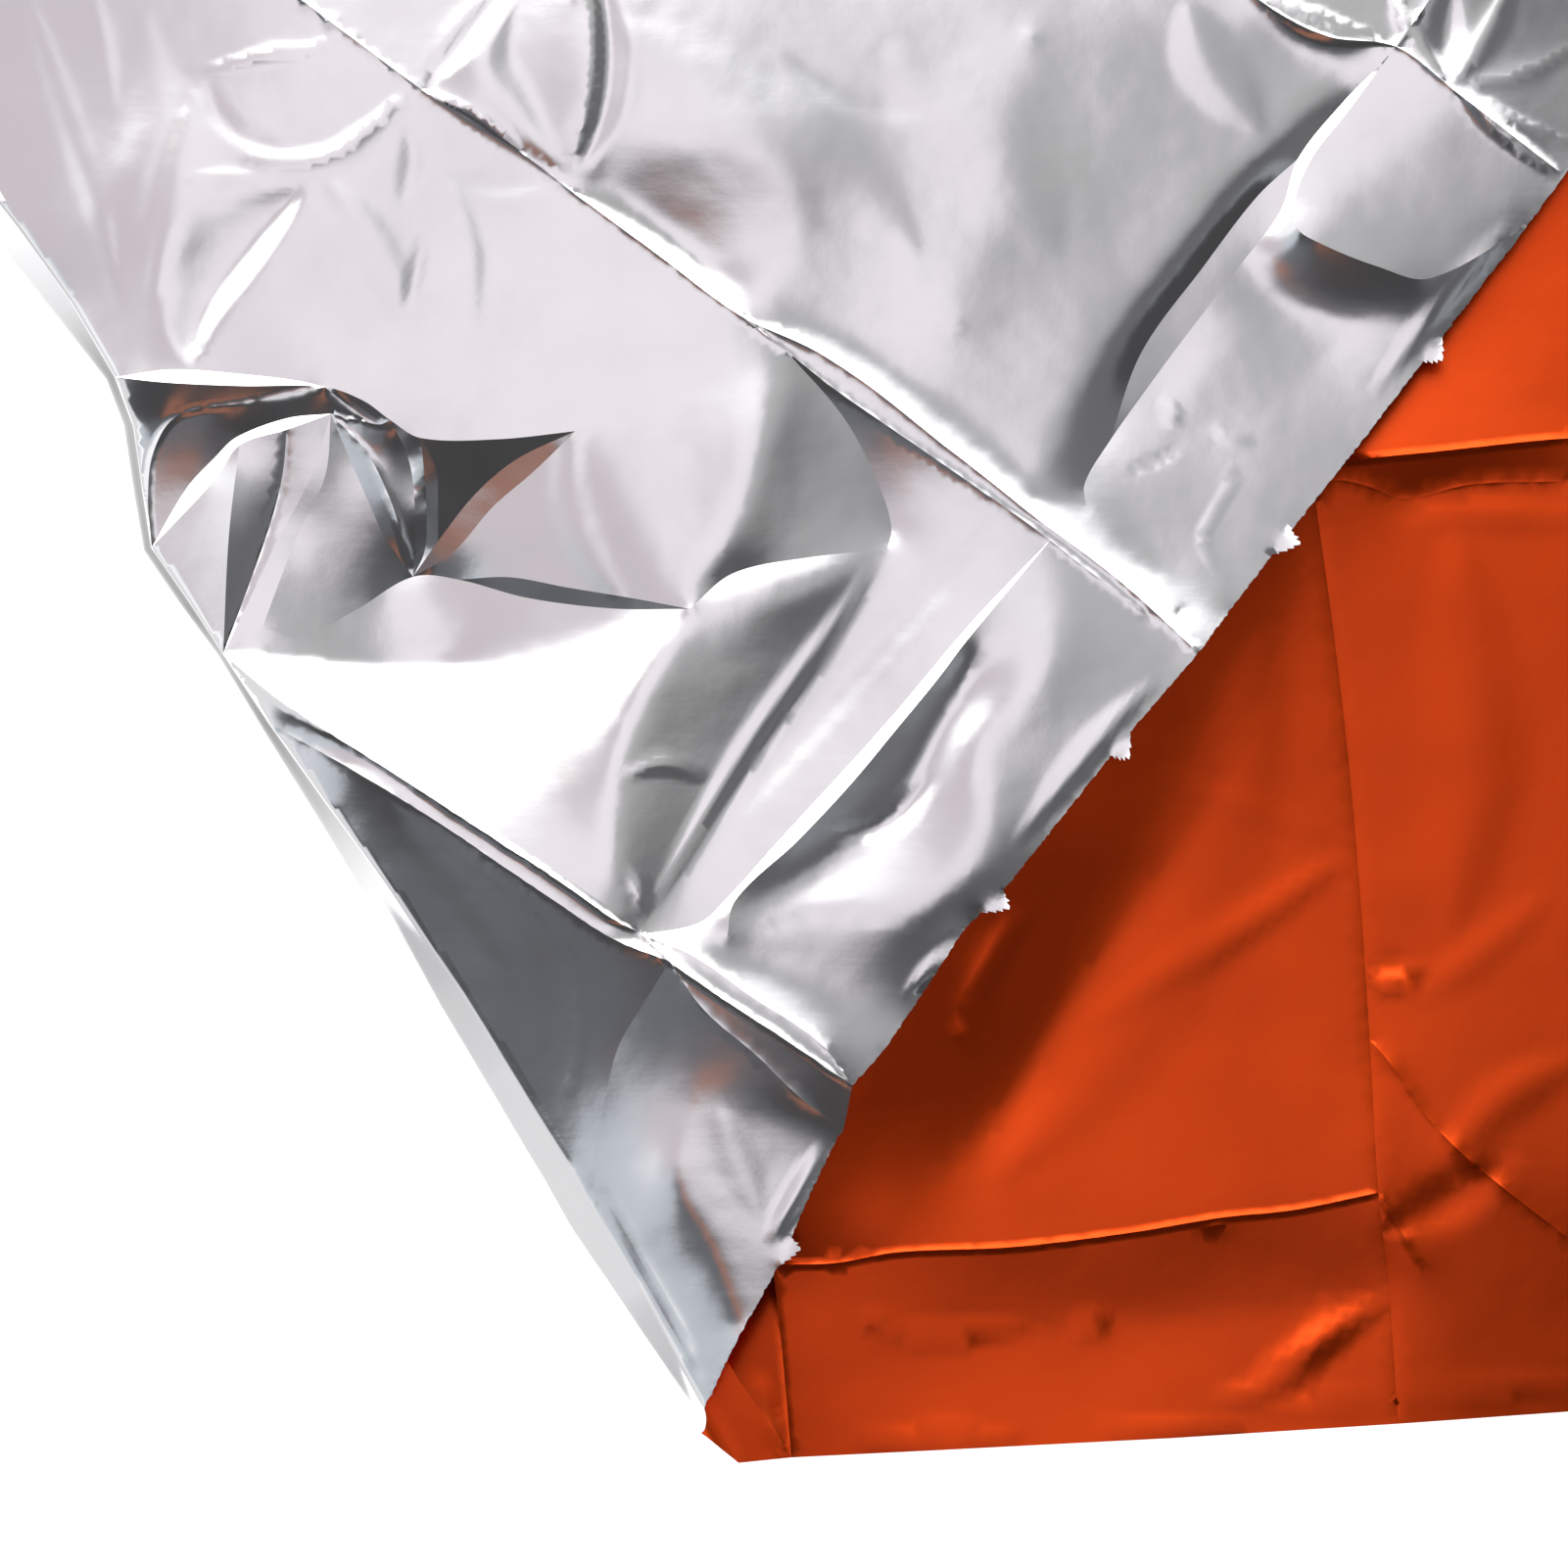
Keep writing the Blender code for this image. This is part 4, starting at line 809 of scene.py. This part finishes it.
def film_mesh(settings):
    """The whole sheet as one open surface, its normals on the silver side."""
    fine, ground, coarse = settings.flap_pitch, settings.ground_pitch, settings.coarse_pitch
    mesh = bmesh.new()
    # A layer that holds the painted shade of the roll's steep side
    mesh.verts.layers.float.new("painted_flank_shade")
    tops, outers, unders = roll_lines(fine, coarse)

    upper = {name: Vector(spot) for name, spot in UPPER_POINTS.items()}
    upper.update({f"roll {i}": Vector((row.top_x, row.top_y, row.height)) for i, row in enumerate(ROLL)})
    free = UPPER_RIM.index("corner")
    torn = walk([tops[0]] + [upper[name] for name in UPPER_RIM[:free + 1]], fine * FREE_EDGE, coarse)
    sides = walk([upper[name] for name in UPPER_RIM[free:]] + [tops[-1]], fine, coarse)
    rim = torn_edge(torn) + sides[1:] + tops[-2::-1]
    folds = fold_lines(upper, UPPER_FOLDS, fine * FOLDS_ABOVE, coarse)
    add_layer(mesh, rim, folds, UPPER_SWELLS, tops, fine, coarse)
    add_roll(mesh, tops, outers, unders)

    lower = {name: Vector(spot) for name, spot in LOWER_POINTS.items()}
    rim = walk([unders[0]] + [lower[name] for name in LOWER_RIM] + [unders[-1]], ground, coarse)
    rim += unders[-2::-1]
    folds = fold_lines(lower, LOWER_FOLDS, ground * FOLDS_BELOW, coarse)
    add_layer(mesh, rim, folds, LOWER_SWELLS, unders, ground, coarse, UNDER_FLAP)

    bmesh.ops.remove_doubles(mesh, verts=mesh.verts, dist=JOINED)
    bmesh.ops.recalc_face_normals(mesh, faces=mesh.faces)
    if sum(face.normal.z for face in mesh.faces if face.calc_center_median().z > ABOVE) < 0:
        bmesh.ops.reverse_faces(mesh, faces=mesh.faces)
    for face in mesh.faces:
        face.smooth = True
    for edge in mesh.edges:
        if edge.is_boundary:
            edge.smooth = False
    return mesh


def plan_middle():
    """The middle of the sheet's plan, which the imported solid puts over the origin."""
    spots = [*UPPER_POINTS.values(), *LOWER_POINTS.values()]
    xs = [row.outer_x for row in ROLL] + [x for x, _, _ in spots]
    ys = [UNDER_HEM[1]] + [y for _, y, _ in spots]
    return Vector(((min(xs) + max(xs)) / 2, (min(ys) + max(ys)) / 2, 0.0))


def settle(mesh):
    """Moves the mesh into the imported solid's place, in metres."""
    bmesh.ops.translate(mesh, verts=mesh.verts, vec=-plan_middle())
    bmesh.ops.scale(mesh, verts=mesh.verts, vec=(MM, MM, MM))


# ---------------- materials

def new_material(name):
    material = bpy.data.materials.new(name)
    material.use_nodes = True
    return material, Tree(material.node_tree)


def silver_material(settings):
    material, tree = new_material("silver face")
    spot = tree.node("ShaderNodeTexCoord", output="Object")
    haze = tree.noise(spot, 28.0, 5.0, 0.6)
    stretch = tree.node("ShaderNodeMapping", inputs={
        "Vector": spot, "Rotation": (0.0, 0.0, 0.6), "Scale": (60.0, 900.0, 60.0)}, output="Vector")
    scratch = tree.noise(stretch, 1.0, 3.0)
    height = tree.noise(spot, 260.0, 6.0, 0.55) * 0.25 + tree.noise(spot, 80.0, 2.0) * 0.8 + scratch * 0.05
    tint = tree.mix(haze.smooth(0.35, 0.7), colour(*settings.silver), colour(0.89, 0.88, 0.90))
    # Painted shade: the roll's steep side gets a dark base colour, standing in for the close, dark
    # surroundings that it would mirror.
    painted_flank_shade = tree.node("ShaderNodeAttribute", dict(attribute_name="painted_flank_shade"), output="Fac")
    tree.surface({
        "Base Color": tree.mix(painted_flank_shade, tint, colour(0.10, 0.098, 0.10)), "Metallic": 1.0,
        "Roughness": haze.smooth(0.3, 0.75) * 0.05 + scratch * 0.02 + settings.gloss,
        "Normal": tree.bump(0.10, height)})
    return material


def orange_material(settings):
    material, tree = new_material("orange face")
    spot = tree.node("ShaderNodeTexCoord", output="Object")
    cloud = tree.noise(spot, 16.0, 4.0)
    height = tree.noise(spot, 60.0, 3.0) + tree.noise(spot, 700.0, 3.0) * 0.08
    deep = colour(*(part * 0.9 for part in settings.orange))
    tree.surface({
        "Base Color": tree.mix(cloud.smooth(0.35, 0.7), colour(*settings.orange), deep), "Metallic": 1.0,
        "Roughness": cloud * 0.06 + (settings.satin - 0.03), "Normal": tree.bump(0.12, height),
        "Coat Weight": 0.15, "Coat Roughness": 0.16})
    return material


def floor_material():
    material, tree = new_material("floor")
    tree.surface({
        "Base Color": colour(0.92, 0.92, 0.92), "Roughness": 0.9,
        "Emission Color": colour(1.0, 1.0, 1.0), "Emission Strength": 0.6})
    return material


# ---------------- operators

def new_object(context, name, mesh, *materials):
    """An object in the scene from the mesh, which is used up."""
    data = bpy.data.meshes.new(name)
    mesh.to_mesh(data)
    mesh.free()
    for material in materials:
        data.materials.append(material)
    made = bpy.data.objects.new(name, data)
    context.scene.collection.objects.link(made)
    return made


class FOIL_OT_sheet(bpy.types.Operator):
    """Build the folded film sheet"""

    bl_idname = "foil.sheet"
    bl_label = "Folded Sheet"

    def execute(self, context):
        settings = context.scene.foil
        mesh = film_mesh(settings)
        settle(mesh)
        film = new_object(context, "foil_film", mesh, silver_material(settings), orange_material(settings))
        wall = film.modifiers.new("film", "SOLIDIFY")
        wall.thickness = settings.film
        wall.offset = -1.0
        wall.use_even_offset = True
        wall.thickness_clamp = 1.0
        wall.material_offset = 1
        wall.material_offset_rim = 0
        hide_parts("foil_sheet")
        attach(film, "root")
        return {"FINISHED"}


def tone_map(tree):
    """The studio's tones, by the tilt of the mirror that would show each direction."""
    ray = tree.node("ShaderNodeTexCoord", output="Generated")
    parts = tree.node("ShaderNodeSeparateXYZ", inputs={"Vector": ray})
    x, y, z = (Value(tree, parts.outputs[axis]) for axis in "XYZ")
    # The slopes of a mirror, to the right and away, that shows this direction to a viewer overhead.
    east, north = x / (z + OVERHEAD), y / (z + OVERHEAD)
    far = (east * east + north * north) ** 0.5
    east_only, west_only = east.larger(0.0), (-east).larger(0.0)
    cloud = tree.noise(ray, 9.0, 2.0)
    lit = north * 0.9 - east_only * 0.4 + west_only * 0.1
    shade = east_only * 0.5 + west_only * 0.2 - north * 0.85
    west = (west_only - 0.02) * 0.85 - (-north).larger(0.0) * 0.75
    south = -north - (east_only + west_only) * 1.3
    turned = west_only + (cloud - 0.5) * 0.03
    reddish = far.band(0.10, 0.11, 0.135, 0.145) + (-north).band(0.20, 0.23, 0.36, 0.42)
    pale = tree.mix((-north).smooth(0.05, 0.09), colour(0.60, 0.545, 0.575), colour(0.56, 0.60, 0.645))

    tone = colour(0.88, 0.835, 0.875)
    for share, tint in (
            # greys of facets that tilt to the right or to the viewer, from light to dark
            (east.smooth(0.012, 0.045), colour(0.41, 0.41, 0.415)),
            (shade.smooth(0.04, 0.115), colour(0.085, 0.088, 0.092)),
            ((-east).smooth(-0.02, 0.03) * shade.smooth(0.06, 0.11), colour(0.115, 0.122, 0.135)),
            ((east - north.larger(0.0) * 0.35).smooth(0.06, 0.16), colour(0.14, 0.14, 0.145)),
            (east.smaller(-north).smooth(0.12, 0.17), colour(0.33, 0.36, 0.39)),
            # pale and then white facets that tilt to the left
            (west.smooth(0.015, 0.05), pale),
            (west.smooth(0.10, 0.18), colour(1.0, 1.0, 1.02)),
            # two black patches and a brown one on the viewer's side
            (south.smooth(0.05, 0.09) * far.band(0.14, 0.165, 0.45, 0.52), colour(0.05, 0.05, 0.052)),
            ((-north - west_only * 0.6).smooth(0.045, 0.06) * far.band(0.24, 0.28, 0.48, 0.55),
             colour(0.055, 0.055, 0.057)),
            (turned.band(0.047, 0.052, 0.09, 0.10) * reddish, colour(0.33, 0.14, 0.09)),
            # the lamp, its glow first
            (lit.smooth(0.045, 0.085), colour(1.35, 1.35, 1.37)),
            (lit.smooth(0.09, 0.18), colour(3.2, 3.2, 3.2)),
            # light walls, low all round but behind the lamp
            (far.smooth(0.50, 0.60) * (0.15 - north).smooth(0.0, 0.1), colour(0.76, 0.76, 0.77))):
        tone = tree.mix(share, tone, tint)
    return tone


class FOIL_OT_studio(bpy.types.Operator):
    """Build the floor, the lights and the camera"""

    bl_idname = "foil.studio"
    bl_label = "Studio"

    def execute(self, context):
        settings = context.scene.foil_studio
        context.scene.view_settings.view_transform = "Standard"

        mesh = bmesh.new()
        bmesh.ops.create_grid(mesh, x_segments=1, y_segments=1, size=settings.floor / 2)
        floor = new_object(context, "floor", mesh, floor_material())
        floor.location.z = FLOOR_AT

        world = bpy.data.worlds.new("studio")
        context.scene.world = world
        world.use_nodes = True
        tree = Tree(world.node_tree)
        light = tree.node("ShaderNodeBackground", inputs={
            "Color": tone_map(tree), "Strength": 1.0}, output="Background")
        tree.node("ShaderNodeOutputWorld", inputs={"Surface": light})

        lens = bpy.data.cameras.new("camera")
        lens.lens = settings.lens
        lens.clip_start, lens.clip_end = 0.01, 50.0
        camera = bpy.data.objects.new("camera", lens)
        middle = -plan_middle() * MM
        distance = settings.view_width * settings.lens / lens.sensor_width
        camera.location = (middle.x, middle.y, distance)
        context.scene.collection.objects.link(camera)
        context.scene.camera = camera
        return {"FINISHED"}


class FOIL_PT_panel(bpy.types.Panel):
    """Lists the pieces of the foil sheet and its studio"""

    bl_idname = "FOIL_PT_panel"
    bl_label = "Foil"
    bl_space_type = "VIEW_3D"
    bl_region_type = "UI"
    bl_category = "Foil"

    def draw(self, context):
        for group in (context.scene.foil, context.scene.foil_studio):
            for name in group.__annotations__:
                self.layout.prop(group, name)
        for step in STEPS:
            self.layout.operator(step.bl_idname)


STEPS = (FOIL_OT_sheet, FOIL_OT_studio)
CLASSES = (FoilSettings, StudioSettings) + STEPS + (FOIL_PT_panel,)


def register():
    for one in CLASSES:
        bpy.utils.register_class(one)
    bpy.types.Scene.foil = bpy.props.PointerProperty(type=FoilSettings)
    bpy.types.Scene.foil_studio = bpy.props.PointerProperty(type=StudioSettings)


def unregister():
    del bpy.types.Scene.foil_studio
    del bpy.types.Scene.foil
    for one in reversed(CLASSES):
        bpy.utils.unregister_class(one)


def main():
    register()
    bpy.ops.foil.sheet()
    bpy.ops.foil.studio()


if __name__ == "__main__":
    main()
